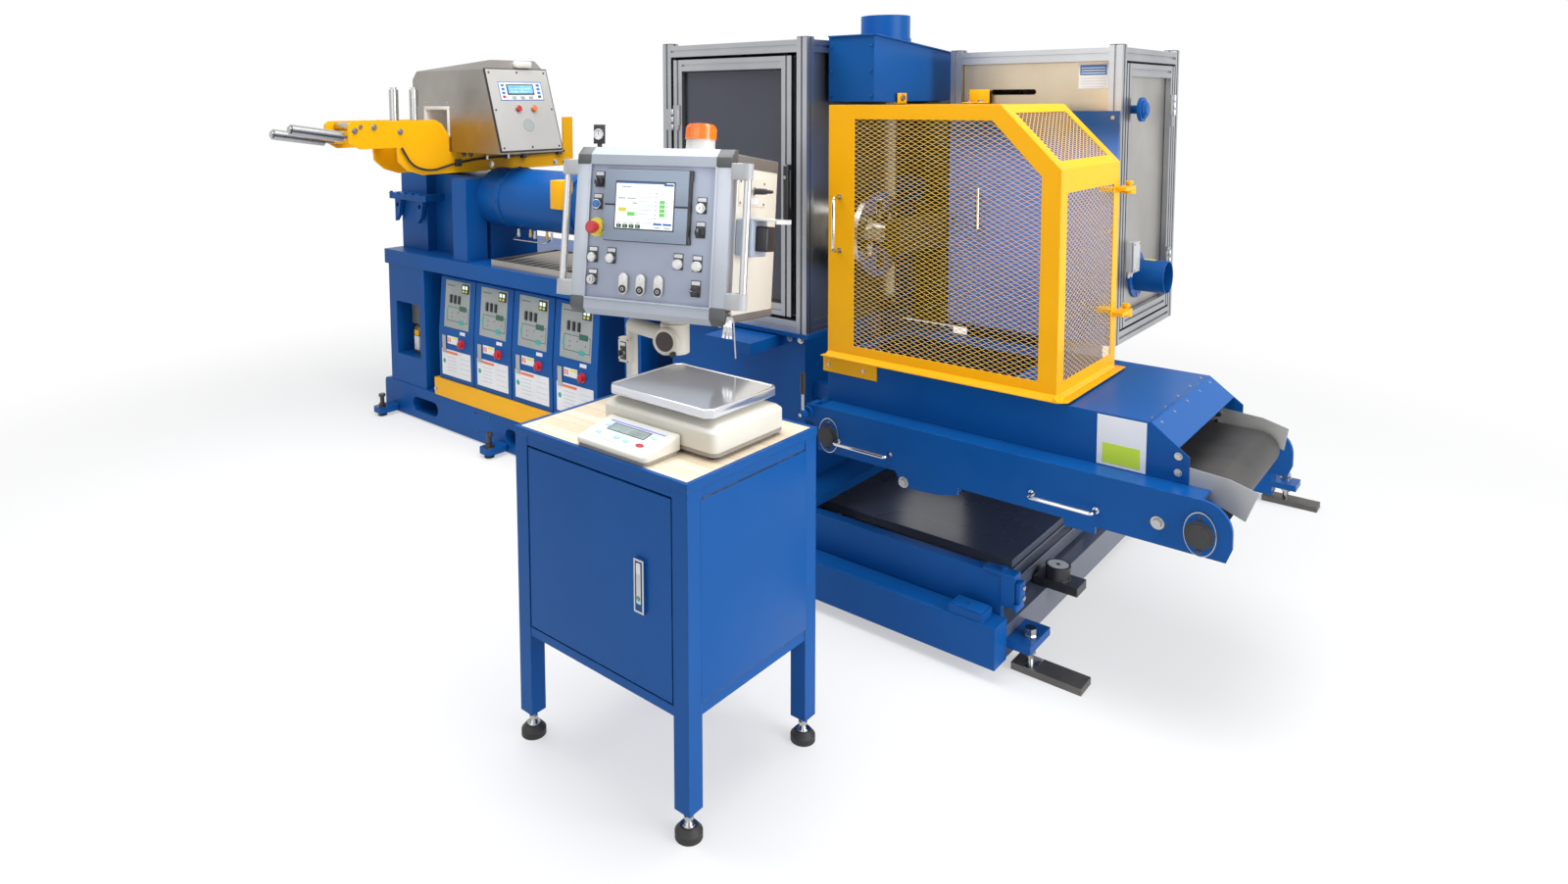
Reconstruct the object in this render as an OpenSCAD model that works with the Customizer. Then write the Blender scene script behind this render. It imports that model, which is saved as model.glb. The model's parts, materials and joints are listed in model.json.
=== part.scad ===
// Rubber preforming machine: a screw-fed extruder unit with a metal detector at its
// feed, a cutter head behind a swinging mesh guard, a take-off conveyor, a control
// pendant on its pedestal and a weigh station with a bench scale.
// Line frame: u runs along the machine, v away from the operator, z up from the floor.

/* [Line] */
// Length from the extruder end to the tips of the belt guides
line_l = 4440; // [4300:1:5400]
// Distance from the extruder front to the front of the weigh cabinet feet
front_v = 1300; // [1250:1:1600]
// Distance from the extruder front to the back of the rear foot bar
back_v = 1882; // [1850:1:2200]

/* [Extruder base] */
// Length of the extruder base
base_l = 2100; // [1950:10:2150]
// Depth of the extruder base
base_d = 900; // [800:10:1100]
// Height of the top of the base box
base_h = 184; // [150:1:230]
// Gap under the base box
base_gap = 8; // [4:1:20]
// Corner radius of the base box ends
base_r = 22; // [5:1:40]
// Length of a fork slot
slot_l = 244; // [180:1:300]
// Height of a fork slot
slot_h = 78; // [50:1:100]

/* [Table] */
// Height of the table top
table_h = 925; // [880:1:1000]
// Height of the table rail
rail_h = 80; // [60:1:100]
// Width of one temperature unit
unit_w = 305; // [260:1:311]
// Depth of a temperature unit
unit_d = 560; // [450:10:650]
// Height of the temperature unit shelf
shelf_h = 276; // [240:1:300]

/* [Feed] */
// Height of the screw and cutter axis
axis_h = 1250; // [1200:1:1300]
// Diameter of the drive barrel
barrel_d = 306; // [250:1:330]
// Thickness of the feed bracket plates
plate_t = 12; // [8:1:16]
// Clear width between the feed bracket plates
plate_gap = 210; // [180:1:240]
// Height of the top of the feed bracket
bracket_top = 1655; // [1640:1:1700]
// Diameter of the feed rollers
roller_d = 50; // [40:1:60]
// Length of the long feed rollers
roller_l = 250; // [200:1:320]
// Length of the detector housing
det_l = 760; // [700:10:780]
// Depth of the detector housing
det_d = 395; // [350:5:420]
// Height of the detector housing
det_h = 436; // [400:1:460]

/* [Enclosures] */
// Width of the aluminium profile
prof = 45; // [40:1:50]
// Width of the centre enclosure
cen_w = 714; // [690:1:720]
// Depth of the centre enclosure
cen_d = 760; // [700:10:800]
// Height of the underside of the enclosures
enc_low = 889; // [880:1:900]
// Height of the centre enclosure frame
cen_h = 1084; // [1040:1:1120]
// Width of the right enclosure
rig_w = 634; // [600:1:640]
// Depth of the right enclosure
rig_d = 650; // [600:1:700]
// Height of the right enclosure frame
rig_h = 1040; // [1000:1:1080]

/* [Guard] */
// Width of the mesh guard
guard_w = 811; // [780:1:820]
// Depth of the mesh guard
guard_d = 500; // [440:1:510]
// Height of the mesh guard
guard_h = 874; // [850:1:900]
// Length of the chamfer on the guard top
guard_cut = 190; // [150:1:220]
// Long pitch of the plain lattice in the guard windows
mesh_l = 120; // [90:1:160]
// Short pitch of the plain lattice
mesh_s = 60; // [45:1:80]

/* [Conveyor] */
// Length of the conveyor beams
conv_l = 1290; // [1200:10:1300]
// Height of the top of the conveyor beams
conv_top = 697; // [680:1:720]
// Height of the conveyor beams
conv_h = 152; // [140:1:170]
// Width of the beam flange
conv_flange = 84; // [60:1:90]
// Distance between the hood sides
hood_d = 600; // [560:1:640]
// Height of the top of the hood
hood_top = 850; // [830:1:860]
// Diameter of the end rollers
end_roller_d = 110; // [90:1:120]

/* [Weigh station] */
// Width of the weigh cabinet
cab_w = 630; // [560:1:640]
// Depth of the weigh cabinet
cab_d = 512; // [450:1:520]
// Height of the cabinet top
cab_h = 875; // [820:1:900]
// Width of the cabinet legs
leg_w = 48; // [40:1:60]
// Height of the underside of the cabinet box
cab_low = 300; // [250:1:350]
// Width of the scale platter
plat_w = 363; // [320:1:380]
// Depth of the scale platter
plat_d = 280; // [250:1:290]

/* [Pendant] */
// Width of the pendant box
pen_w = 520; // [460:1:540]
// Height of the pendant box
pen_h = 512; // [460:1:540]
// Depth of the pendant box
pen_d = 372; // [300:1:376]
// Backward tilt of the pendant
pen_tilt = 7.5; // [3:0.5:9]
// Turn of the pendant towards the conveyor
pen_turn = 16; // [8:1:18]

/* [Hidden] */
$fn = 48;
du = line_l - 4440;   // the cutter end moves out as the line gets longer
blue = [0.10, 0.28, 0.52];
yellow = [0.95, 0.68, 0.05];
steel = [0.72, 0.72, 0.70];
alu = [0.80, 0.81, 0.83];
black = [0.08, 0.08, 0.09];
cream = [0.90, 0.88, 0.80];
// flat faces that rest on each other inside one body share a plane
gap = 0.3;   // clearance between pieces that only rest close
run = 6;     // clearance of swinging and turning pieces
sheet = 3;   // sheet metal thickness

// line frame to part frame, whose origin is under the middle of the line
module place(p = [0, 0, 0]) {
  translate([p.x - line_l / 2, p.y + (front_v - back_v) / 2, p.z]) children();
}
module box(p, s) {
  place(p) cube(s);
}
// a plate in the u-v plane with round corners
module round_plate(w, d, t, r) {
  linear_extrude(t) rounded(w, d, r);
}
module rounded(w, d, r) {
  translate([r, 0]) square([w - 2 * r, d]);
  translate([0, r]) square([w, d - 2 * r]);
  for (x = [r, w - r], y = [r, d - r]) translate([x, y]) circle(r);
}
// tube along u with its axis at the given point
module rod_u(p, l, d) {
  place(p) rotate([0, 90, 0]) cylinder(h = l, d = d);
}
module rod_v(p, l, d) {
  place(p) rotate([-90, 0, 0]) cylinder(h = l, d = d);
}
module rod_z(p, l, d) {
  place(p) cylinder(h = l, d = d);
}

// ---------- extruder unit ----------
slot_1 = 279;                 // first fork slot
slot_2 = 1109;                // second fork slot
slot_z = 50;
lug_w = 90;
lug_out = 118;                // reach of the jacking lugs
lug_t = 30;
lug_us = [56, 1046, base_l - 146];
module slot_cut(u) {
  place([u, -50, slot_z]) rotate([-90, 0, 0]) mirror([0, 1, 0])
    linear_extrude(base_d + 100) rounded(slot_l, slot_h, slot_h / 2 - 0.5);
}
module extruder_base() color(blue) {
  difference() {
    place([0, 0, base_gap]) translate([0, base_d, 0]) rotate([90, 0, 0])
      linear_extrude(base_d) rounded(base_l, base_h - base_gap, base_r);
    slot_cut(slot_1);
    slot_cut(slot_2);
  }
  for (u = lug_us, side = [0, 1])
    place([u, side == 0 ? -lug_out : base_d - 0.01, base_gap + 12]) difference() {
      round_plate(lug_w, lug_out + 0.01, lug_t, 20);
      translate([lug_w / 2, side == 0 ? 35 : lug_out - 35, -1]) cylinder(h = lug_t + 2, d = 24);
    }
}
module jacking_bolts() color(black) {
  for (u = lug_us, v = [35 - lug_out, base_d + lug_out - 35])
    place([u + lug_w / 2, v, 0]) {
      cylinder(h = 6, d = 50);
      cylinder(h = 118, d = 23.4);
      translate([0, 0, 106]) cylinder(h = 16, d = 36, $fn = 6);
    }
}
col_u = 65;
col_w = 350;
col_d = 420;
win_u = 135;
win_w = 231;
win_z = 344;
win_h = 297;
win_d = 190;
module grease_column() color(blue) difference() {
  box([col_u, 4, base_h], [col_w, col_d, table_h - rail_h - base_h]);
  box([win_u, -1, win_z], [win_w, win_d, win_h]);
}
module grease_pump() color(black) {
  box([win_u + 60, 60, win_z + 170], [90, 100, 110]);
  rod_z([win_u + 105, 110, win_z], 150, 84);
  rod_z([win_u + 105, 110, win_z + 150], 20, 100);
}
units_u = 538;
unit_pitch = 313;
unit_top = table_h - rail_h - 2;
face_low = 520;               // foot of the slanted panel of a unit
face_set = 26;                // set back of the panel at its top
module temperature_units() color(blue) for (i = [0:3])
  place([units_u + i * unit_pitch, 10, shelf_h]) rotate([90, 0, 90])
    linear_extrude(unit_w) polygon([[0, 0], [unit_d, 0], [unit_d, unit_top - shelf_h],
      [face_set + 20, unit_top - shelf_h], [face_set, unit_top - shelf_h - 22],
      [0, face_low - shelf_h]]);
module kick_shelf() color(yellow) {
  place([508, -6, base_h]) difference() {
    cube([1300, unit_d + 40, shelf_h - base_h]);
    translate([-1, 10, -1]) cube([1302, unit_d + 40, shelf_h - base_h - 7]);
  }
}
table_l = 2040;
table_u = 39;
module table_frame() color(blue) {
  box([table_u, -4, table_h - rail_h], [table_l, base_d - 20, rail_h]);
  for (u = [table_u, table_u + table_l - 100])
    box([u, base_d - 124, base_h], [100, 100, table_h - rail_h - base_h]);
  box([table_u + table_l - 100, -4, base_h], [100, 100, table_h - rail_h - base_h]);
}
hous_u = 59;
hous_w = 253;
post_u = 690;
hous_v = 103;
hous_d = 330;
module feed_housing() color(blue) {
  box([hous_u, hous_v, table_h], [hous_w, hous_d, 280]);
  box([hous_u - 30, hous_v - 60, table_h + 280], [hous_w + 110, hous_d + 90, 34]);
  box([hous_u, hous_v, table_h + 314], [hous_w, hous_d, beam_low - table_h - 314]);
  for (u = [hous_u - 20, hous_u + hous_w - 50])
    place([u, hous_v - 8, table_h + 150]) rotate([90, 0, 0]) difference() {
      linear_extrude(24) polygon([[0, 0], [40, 40], [60, 130], [0, 130]]);
      translate([24, 95, -1]) cylinder(h = 26, d = 26);
    }
  box([post_u, 10, table_h], [122, 126, beam_low - table_h - 26]);
  box([hous_u + hous_w, hous_v + 60, table_h], [post_u + 122 - hous_u - hous_w, 300,
    beam_low - table_h - 26]);
}
barrel_v = 230;
module drive_barrel() color(blue) {
  rod_u([post_u + 122, barrel_v, axis_h], cen_u + du - post_u - 122.3, barrel_d);
  rod_u([961, barrel_v, axis_h], 30, barrel_d + 14);
  rod_u([1500, barrel_v, axis_h], 30, barrel_d + 26);
  box([2020, barrel_v - 90, table_h], [60, 180, axis_h - table_h - barrel_d / 2 + 20]);
}
module catch_tray() {
  color(steel) difference() {
    box([1000, 20, table_h], [980, 420, 36]);
    box([1004, 24, table_h + 4], [972, 412, 40]);
  }
  color(steel) for (i = [0:7]) rod_v([1040 + i * 60, 24, table_h + 20], 412, 26);
}
// ---------- feed bracket, rollers and detector ----------
brk_u = 677;                  // outer face of the right plate
brk_left = brk_u - plate_gap - 2 * plate_t;
brk_front = -542;
brk_back = 844;
beam_low = bracket_top - 277;
beam_top = beam_low + 110;
module bracket_plate(u) {
  place([u, 0, 0]) rotate([90, 0, 90]) linear_extrude(plate_t)
    polygon([[brk_front + 60, arm_low], [brk_front, arm_low + 34],
      [brk_front, bracket_top - 18], [brk_front + 18, bracket_top], [-70, bracket_top],
      [-30, bracket_top - 22], [10, bracket_top - 80], [10, beam_top],
      [brk_back - 70, beam_top], [brk_back - 70, bracket_top], [brk_back, bracket_top],
      [brk_back, beam_low], [-150, beam_low], [-230, beam_low + 26],
      [-283, arm_low - 70], [-290, arm_low]]);
}
module feed_bracket() color(yellow) {
  bracket_plate(brk_u - plate_t);
  bracket_plate(brk_left);
  for (v = [-300, -180], z = [arm_low + 10])
    box([brk_left + plate_t, v, z], [plate_gap, 60, 40]);
  for (v = [560, brk_back - 60])
    box([brk_left + plate_t, v, beam_top - 60], [plate_gap, 40, 40]);
  // block that holds the two long spindles
  box([brk_left + plate_t, brk_front + 40, arm_low + 24], [plate_gap, 50, 60]);
  // saddle down to the feed housing
  box([hous_u + 60, 180, beam_low], [brk_left - hous_u - 60, 160, 60]);
  box([brk_left + plate_t, 180, beam_low], [plate_gap, 160, 60]);
}
aper_h = 130;
det_u = 340;
det_v = 18;
det_z = beam_top;
arm_low = bracket_top - 134;
det_lean = 145;
det_tilt = atan(det_lean / (det_h + 30));
module metal_detector() color(steel) {
  difference() {
    intersection() {
      place([det_u, det_v + det_d, det_z]) rotate([90, 0, 0]) linear_extrude(det_d)
        polygon([[0, 0], [det_l, 0], [det_l - det_lean, det_h + 30], [40, det_h - 16],
          [0, det_h - 60]]);
      place([det_u - 1, det_v, det_z]) rotate([90, 0, 90]) linear_extrude(det_l + 2)
        polygon([[0, 0], [det_d, 0], [det_d, det_h - 40], [det_d - 70, det_h + 40],
          [70, det_h + 40], [0, det_h - 40 + 22]]);
    }
    box([brk_left + plate_t + 5, det_v - 10, det_z + 90], [plate_gap - 10, det_d + 20, aper_h]);
  }
}
module detector_panel() color(alu)
  place([det_u + det_l - 14 * tan(det_tilt), det_v + 8, det_z + 14]) rotate([0, -det_tilt, 0])
    translate([0.3, 0, 0]) cube([7, det_d - 16, det_h - 14]);
// rollers turn on fixed spindles
spin_d = 20;
module free_roller(l, d) {
  difference() {
    cylinder(h = l, d = d);
    translate([0, 0, -1]) cylinder(h = l + 2, d = spin_d + 0.1);
  }
}
front_tilt = 9;
right_roller = [brk_u - 46, brk_front + 6, bracket_top - 74];
left_roller = [right_roller.x - 174, brk_front + 4, bracket_top - 98];
module roller_place(p) {
  place(p) rotate([90 - front_tilt, 0, 0]) children();
}
module feed_roller_left() color(steel) roller_place(left_roller)
  translate([0, 0, 15]) free_roller(roller_l, roller_d);
module feed_roller_right() color(steel) roller_place(right_roller)
  translate([0, 0, 15]) free_roller(roller_l, roller_d);
cross_p = [brk_left + plate_t, brk_front + 62, bracket_top - 26];
module cross_roller() color(steel)
  place([cross_p.x + 6, cross_p.y, cross_p.z]) rotate([0, 90, 0])
    free_roller(plate_gap - 12, 38);
post_v = [-262, -150];
post_z0 = arm_low + 50;
post_h = 225;
post_ru = brk_u - 62;
module post_roller(v) {
  place([post_ru, v, post_z0 + 12]) free_roller(post_h, 45);
}
module post_roller_front() color(steel) post_roller(post_v[0]);
module post_roller_rear() color(steel) post_roller(post_v[1]);
module roller_spindles() color(steel) {
  for (p = [left_roller, right_roller]) roller_place(p) {
    translate([0, 0, -60]) cylinder(h = 60 + roller_l + 18, d = spin_d);
    translate([0, 0, roller_l + 18]) cylinder(h = 6, d = 34);
  }
  place([cross_p.x - plate_t - 6, cross_p.y, cross_p.z]) rotate([0, 90, 0])
    cylinder(h = plate_gap + 2 * plate_t + 12, d = spin_d);
  for (v = post_v) place([post_ru, v, post_z0]) {
    cylinder(h = 8, d = 34);
    cylinder(h = post_h + 16, d = spin_d);
    translate([0, 0, post_h + 16]) cylinder(h = 6, d = 32);
  }
}

// ---------- cutter unit: everything here moves with the line length ----------
module cbox(p, s) {
  box([p.x + du, p.y, p.z], s);
}
module cplace(p) {
  place([p.x + du, p.y, p.z]) children();
}
// slotted aluminium profile
module prof_section() {
  slot = 9;
  deep = 7;
  difference() {
    square(prof);
    translate([prof / 2 - slot / 2, -1]) square([slot, deep + 1]);
    translate([prof / 2 - slot / 2, prof - deep]) square([slot, deep + 1]);
    translate([-1, prof / 2 - slot / 2]) square([deep + 1, slot]);
    translate([prof - deep, prof / 2 - slot / 2]) square([deep + 1, slot]);
  }
}
module post_z(p, l) {
  cplace(p) linear_extrude(l) prof_section();
}
module rail_u(p, l) {
  cplace(p) rotate([90, 0, 90]) linear_extrude(l) prof_section();
}
module rail_v(p, l) {
  cplace([p.x, p.y + l, p.z]) rotate([90, 0, 0]) linear_extrude(l) prof_section();
}
// frame of slotted profiles: four posts, and rails at the top and bottom
module profile_frame(p, w, d, h) {
  for (u = [0, w - prof], v = [0, d - prof]) post_z([p.x + u, p.y + v, p.z], h);
  for (v = [0, d - prof], z = [0, h - prof - cap_in])
    rail_u([p.x + prof, p.y + v, p.z + z], w - 2 * prof);
  for (u = [0, w - prof], z = [0, h - prof - cap_in])
    rail_v([p.x + u, p.y + prof, p.z + z], d - 2 * prof);
}
cap_in = 8;                   // the posts stand this much above the top rails
lb_v = -230;                  // front of the lower base
lb_low = 42;
beam_h = 130;
rail_z = 172;                 // foot of the slide rails
rail_top = 300;
rail_u1 = 3766;
rail_v2 = 1000;
base_u = 2140;
base_w = 1649;
lug_z = 80;
cen_u = 2231;
cen_v = -13;
rig_u = 3228;
rig_v = 530;
in_v = 640;                   // front of the pillar under the right enclosure
module lower_base() color(blue) {
  back = back_v - 40;
  cbox([base_u, lb_v, lb_low], [base_w, 84, beam_h]);
  cbox([base_u, back - 84, lb_low], [1990, 84, beam_h]);
  cbox([base_u, lb_v + 84, lb_low], [84, back - lb_v - 168, beam_h - 30]);
  cbox([base_u + 760, lb_v + 84, lb_low], [84, back - lb_v - 168, beam_h - 30]);
  // slide rails with a flange on top
  for (v = [-140, rail_v2]) {
    cbox([base_u + 110, v, lb_low + beam_h - 30], [rail_u1 - base_u - 110, 24, 150]);
    cbox([base_u + 110, v, rail_top - 12], [rail_u1 - base_u - 110, 40, 12]);
    cbox([rail_u1, v - 4, 205], [43, 48, rail_top - 203]);
  }
  // stop blocks on the front beam
  cbox([rail_u1 - 130, lb_v + 4, lb_low + beam_h], [110, 70, 26]);
  // jacking lugs
  cbox([base_u + base_w - 30, lb_v + 84, lug_z], [104, 154, 25]);
  cbox([base_u + 1990, back - 84, lug_z], [90, 100, 25]);
  cbox([base_u + 20, lb_v - 90, lug_z], [110, 90, 25]);
  cbox([base_u + 20, back, lug_z], [110, 36, 25]);
}
module slide_beams() {
  difference() {
    cbox([base_u + base_w - 88, lb_v + 84.3, lb_low], [84, back_v - 40 - lb_v - 168.6, 100]);
    cbox([base_u + base_w - 31, lb_v + 80, lug_z - 0.3], [40, 159, 25.6]);
  }
  for (u = [2960, 3590]) cbox([u, -116, lb_low + beam_h - 30], [60, 1116, 60]);
}
module base_tray() color(black) {
  slide_beams();
  difference() {
    cbox([2900, 100, 202.3], [796, 540, 30]);
    cbox([2904, 104, 202.3 - 1], [788, 532, 27]);
  }
}
// thick tab on the right cross beam with a round rubber stop on it
stop_at = [3806, 212];
module beam_stop() color(black) cplace([stop_at.x, stop_at.y, lb_low + 100.3]) {
  intersection() {
    translate([-66, -42, 0]) cube([145, 84, 28]);
    translate([-66, 0, 0]) cylinder(h = 28, d = 300);
  }
  cylinder(h = 70, d = 80);
}
foot_ps = [[3792, -118], [4087, back_v - 92], [2100, -350], [2100, back_v - 80]];
jack_ps = [[3835, -77], [4170, back_v - 52], [2215, -275], [2215, back_v - 22]];
module foot_bars() color(black) for (i = [0:3])
  cbox([foot_ps[i].x, i == 3 ? back_v - 80 : foot_ps[i].y, 0], [i == 1 ? 207 : 215, 80, 22]);
module jack_screws() color(steel) for (i = [0:3])
  cplace([jack_ps[i].x, jack_ps[i].y, 22]) {
    cylinder(h = 108, d = 22);
    translate([0, 0, 30]) cylinder(h = lug_z - 52, d = 36, $fn = 6);
    translate([0, 0, lug_z + 25 - 22]) cylinder(h = 4, d = 44);
    translate([0, 0, lug_z + 29 - 22]) cylinder(h = 22, d = 36, $fn = 6);
  }
body_d = 740;
module cutter_body() color(blue) {
  // plate across the slide rails
  cbox([base_u + 120, -140, rail_top], [cen_w + 80, rail_v2 + 180, 30]);
  cbox([base_u + 200 + cen_w, in_v, rail_top], [3650 - base_u - 200 - cen_w,
    rail_v2 + 40 - in_v, 30]);
  cbox([cen_u + 20, 10, rail_top + 30], [cen_w - 40, body_d - 30, enc_low - rail_top - 46]);
  cbox([cen_u - 10, cen_v - 4, enc_low - 16], [cen_w + 20, cen_d + 8, 16]);
  // pillar under the right enclosure and the post behind the knife
  cbox([rig_u + 30, in_v, rail_top + 30], [390, rail_v2 + 40 - in_v, enc_low - rail_top - 30]);
  cbox([cen_u + cen_w, in_v - 110, enc_low - 16], [rig_u + 420 - cen_u - cen_w, 130, 16]);
  // short boom at the front of the body
  cbox([2593, -178, 826], [223, 190, 42]);
}
module centre_frame() color(alu)
  profile_frame([cen_u, cen_v, enc_low], cen_w, cen_d, cen_h);
// a panel reaches into the slots on both sides
p_t = 4;
p_in = 6.7;
module panel_u(p, w, h, d) {
  cbox([p.x + prof - p_in, p.y + prof / 2 - p_t / 2, p.z + prof - p_in],
    [w - 2 * prof + 2 * p_in, p_t, h - 2 * prof - cap_in + 2 * p_in]);
}
module panel_v(p, d, h) {
  cbox([p.x + prof / 2 - p_t / 2, p.y + prof - p_in, p.z + prof - p_in],
    [p_t, d - 2 * prof + 2 * p_in, h - 2 * prof - cap_in + 2 * p_in]);
}
module panel_z(p, w, d) {
  cbox([p.x + prof - p_in, p.y + prof + 0.3, p.z + prof / 2 - p_t / 2],
    [w - 2 * prof + 2 * p_in, d - 2 * prof - 0.6, p_t]);
}
module centre_panels() color(alu) {
  p = [cen_u, cen_v, enc_low];
  panel_u([p.x, p.y + cen_d - prof, p.z], cen_w, cen_h);
  for (u = [0, cen_w - prof]) difference() {
    panel_v([p.x + u, p.y, p.z], cen_d, cen_h);
    cplace([p.x + u, head_v, axis_h]) rotate([0, 90, 0]) cylinder(h = prof, d = 250.6);
  }
  panel_z([p.x, p.y, p.z + cen_h - cap_in - prof], cen_w, cen_d);
}
door_gap = 14;
door_u = cen_u + prof + door_gap;
door_w = cen_w - 2 * prof - door_gap - 24;
door_z = enc_low + prof + 12;
door_h = cen_h - 2 * prof - cap_in - 24;
module centre_door_frame() color(alu) {
  for (u = [0, door_w - prof]) post_z([door_u + u, cen_v, door_z], door_h);
  for (z = [0, door_h - prof]) rail_u([door_u + prof, cen_v, door_z + z], door_w - 2 * prof);
  // hinge leaves and the long handle
  for (z = [180, door_h - 260])
    cbox([door_u + 2, cen_v - 5, door_z + z], [34, 5, 80]);
  cbox([door_u + door_w - 16, cen_v - 22, 1353], [12, 22, 160]);
}
module centre_door_pane() color([0.15, 0.15, 0.17, 0.8])
  cbox([door_u + prof - p_in, cen_v + prof / 2 - 3, door_z + prof - p_in],
    [door_w - 2 * prof + 2 * p_in, 6, door_h - 2 * prof + 2 * p_in]);
tow_u = cen_u + cen_w + 0.3;
tow_w = 194;
tow_v = 126;
tow_d = 590;
tow_low = 1740;
tow_top = enc_low + cen_h + 6;
tow_drop = 48;                 // the roof falls by this towards the back
roof_edge = 10;
stub_d = tow_w - 10;
stub_h = 84;
collar_z = tow_top - 3;        // the round stub stands on a rolled collar
wall_v = 612;
module duct_tower() color(blue) {
  cplace([tow_u, tow_v, 0]) rotate([90, 0, 90]) linear_extrude(tow_w)
    polygon([[0, tow_low], [tow_d, tow_low], [tow_d, tow_top - tow_drop], [0, tow_top]]);
  // thin roof plate
  cplace([tow_u, tow_v, 0]) rotate([90, 0, 90]) linear_extrude(tow_w + roof_edge)
    polygon([[-6, tow_top - 3], [tow_d, tow_top - tow_drop - 3],
      [tow_d, tow_top - tow_drop + 2], [-6, tow_top + 2]]);
  cplace([tow_u + tow_w / 2, tow_v + 236, 0]) difference() {
    union() {
      translate([0, 0, tow_top - 60]) cylinder(h = collar_z - tow_top + 60, d = stub_d + 8);
      translate([0, 0, collar_z - 1]) cylinder(h = stub_h + 1, d = stub_d);
    }
    translate([0, 0, collar_z - 20]) cylinder(h = stub_h + 30, d = stub_d - 2 * sheet);
  }
  // back wall of the cutting chamber
  cbox([tow_u, wall_v, enc_low], [rig_u - tow_u - 0.3, 8, tow_low - enc_low]);
}
module right_frame() color(alu)
  profile_frame([rig_u, rig_v, enc_low], rig_w, rig_d, rig_h);
cut_z = enc_low + rig_h - 224;   // the face panel ends and the steel sheet starts here
module right_panels() color(alu) {
  p = [rig_u, rig_v, enc_low];
  difference() {
    panel_u(p, rig_w, rig_h);
    cbox([p.x + 60, p.y - 1, 0], [rig_w - 120, prof, cut_z - 12]);
    // long slot and square cut-out
    cplace([p.x + 168, p.y - 1, cut_z + 67]) rotate([-90, 0, 0]) {
      cylinder(h = prof, d = 20);
      translate([150, 0, 0]) cylinder(h = prof, d = 20);
    }
    cbox([p.x + 168, p.y - 1, cut_z + 57], [150, prof, 20]);
    cbox([p.x + 84, p.y - 1, cut_z + 25], [72, prof, 46]);
  }
  panel_u([p.x, p.y + rig_d - prof, p.z], rig_w, rig_h);
  panel_v(p, rig_d, rig_h);
  panel_z([p.x, p.y, p.z + rig_h - cap_in - prof], rig_w, rig_d);
}
// painted panel on the front below the steel sheet, with its pull rod
rod_u = 3365;
rod_z = 1265;
module right_face_panel() color(blue) {
  cbox([rig_u + 3, rig_v - 6, enc_low + 3], [rig_w - 6, 6, cut_z - enc_low - 3]);
  cplace([rod_u, rig_v - 40, rod_z]) cylinder(h = 150, d = 14);
  for (z = [10, 126]) cplace([rod_u, rig_v - 40, rod_z + z]) rotate([-90, 0, 0])
    cylinder(h = 34, d = 14);
}
rdoor_v = rig_v + prof + 8;
rdoor_w = rig_d - 2 * prof - 16;
rdoor_z = enc_low + prof + 8;
rdoor_h = rig_h - 2 * prof - cap_in - 16;
module right_door_frame() color(alu) {
  for (v = [0, rdoor_w - prof])
    post_z([rig_u + rig_w - prof, rdoor_v + v, rdoor_z], rdoor_h);
  for (z = [0, rdoor_h - prof])
    rail_v([rig_u + rig_w - prof, rdoor_v + prof, rdoor_z + z], rdoor_w - 2 * prof);
  for (z = [150, rdoor_h - 230])
    cbox([rig_u + rig_w, rdoor_v + rdoor_w - 36, rdoor_z + z], [5, 34, 80]);
}
duct_out_d = 118;
rdoor_x = rig_u + rig_w - prof / 2;
module right_door_sheet() color(alu)
  cbox([rdoor_x - p_t / 2, rdoor_v + prof - p_in, rdoor_z + prof - p_in],
    [p_t, rdoor_w - 2 * prof + 2 * p_in, rdoor_h - 2 * prof + 2 * p_in]);
// what is fixed on the right door: duct stub, knob and junction box
module door_fittings() color(blue) {
  cplace([rdoor_x + p_t / 2, 800, 1105]) rotate([0, 90, 0]) {
    cylinder(h = 6, d = 170);
    difference() {
      cylinder(h = 112, d = duct_out_d);
      translate([0, 0, 8]) cylinder(h = 120, d = duct_out_d - 2 * sheet);
    }
  }
  cplace([rdoor_x + p_t / 2, 668, 1708]) rotate([0, 90, 0]) {
    cylinder(h = 40, d = 30);
    translate([0, 0, 40]) cylinder(h = 12, d = 84);
  }
  cbox([rdoor_x + p_t / 2, rdoor_v + prof, 1139], [44, 62, 104]);
}
head_v = barrel_v;
module die_head() color(steel) {
  cplace([cen_u, head_v, axis_h]) rotate([0, 90, 0]) {
    cylinder(h = cen_w + 60, d = 250);
    translate([0, 0, cen_w + 60]) cylinder(h = 26, d = 290);
    translate([0, 0, cen_w + 86]) cylinder(h = 16, d = 170);
  }
}
knife_u = 3084;
knife_d = 318;
module cutter_head() color(steel) {
  cplace([knife_u, head_v, axis_h]) rotate([0, 90, 0]) {
    difference() {
      cylinder(h = 22, d = knife_d);
      for (a = [0 : 60 : 300]) rotate(a) translate([knife_d * 0.31, 0, -1])
        cylinder(h = 24, d = 62);
    }
    translate([0, 0, 22]) cylinder(h = 40, d = 96);
    // two knives on the face towards the die
    for (a = [0, 180]) rotate(a) translate([50, -14, -8]) cube([100, 28, 8.01]);
  }
}
drive_u = 3105;
drive_v = 490;
drive_arm = 58;
module cutter_drive() color([0.25, 0.25, 0.16]) {
  cbox([drive_u, drive_v, enc_low], [120, wall_v - drive_v - 0.3, axis_h + 95 - enc_low]);
  cbox([drive_u + drive_arm, head_v - 60, axis_h - 60],
    [120 - drive_arm, drive_v - head_v + 60, 120]);
  cplace([knife_u + 62.3, head_v, axis_h]) rotate([0, 90, 0])
    cylinder(h = drive_u + drive_arm - knife_u - 62.3, d = 60);
}

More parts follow.
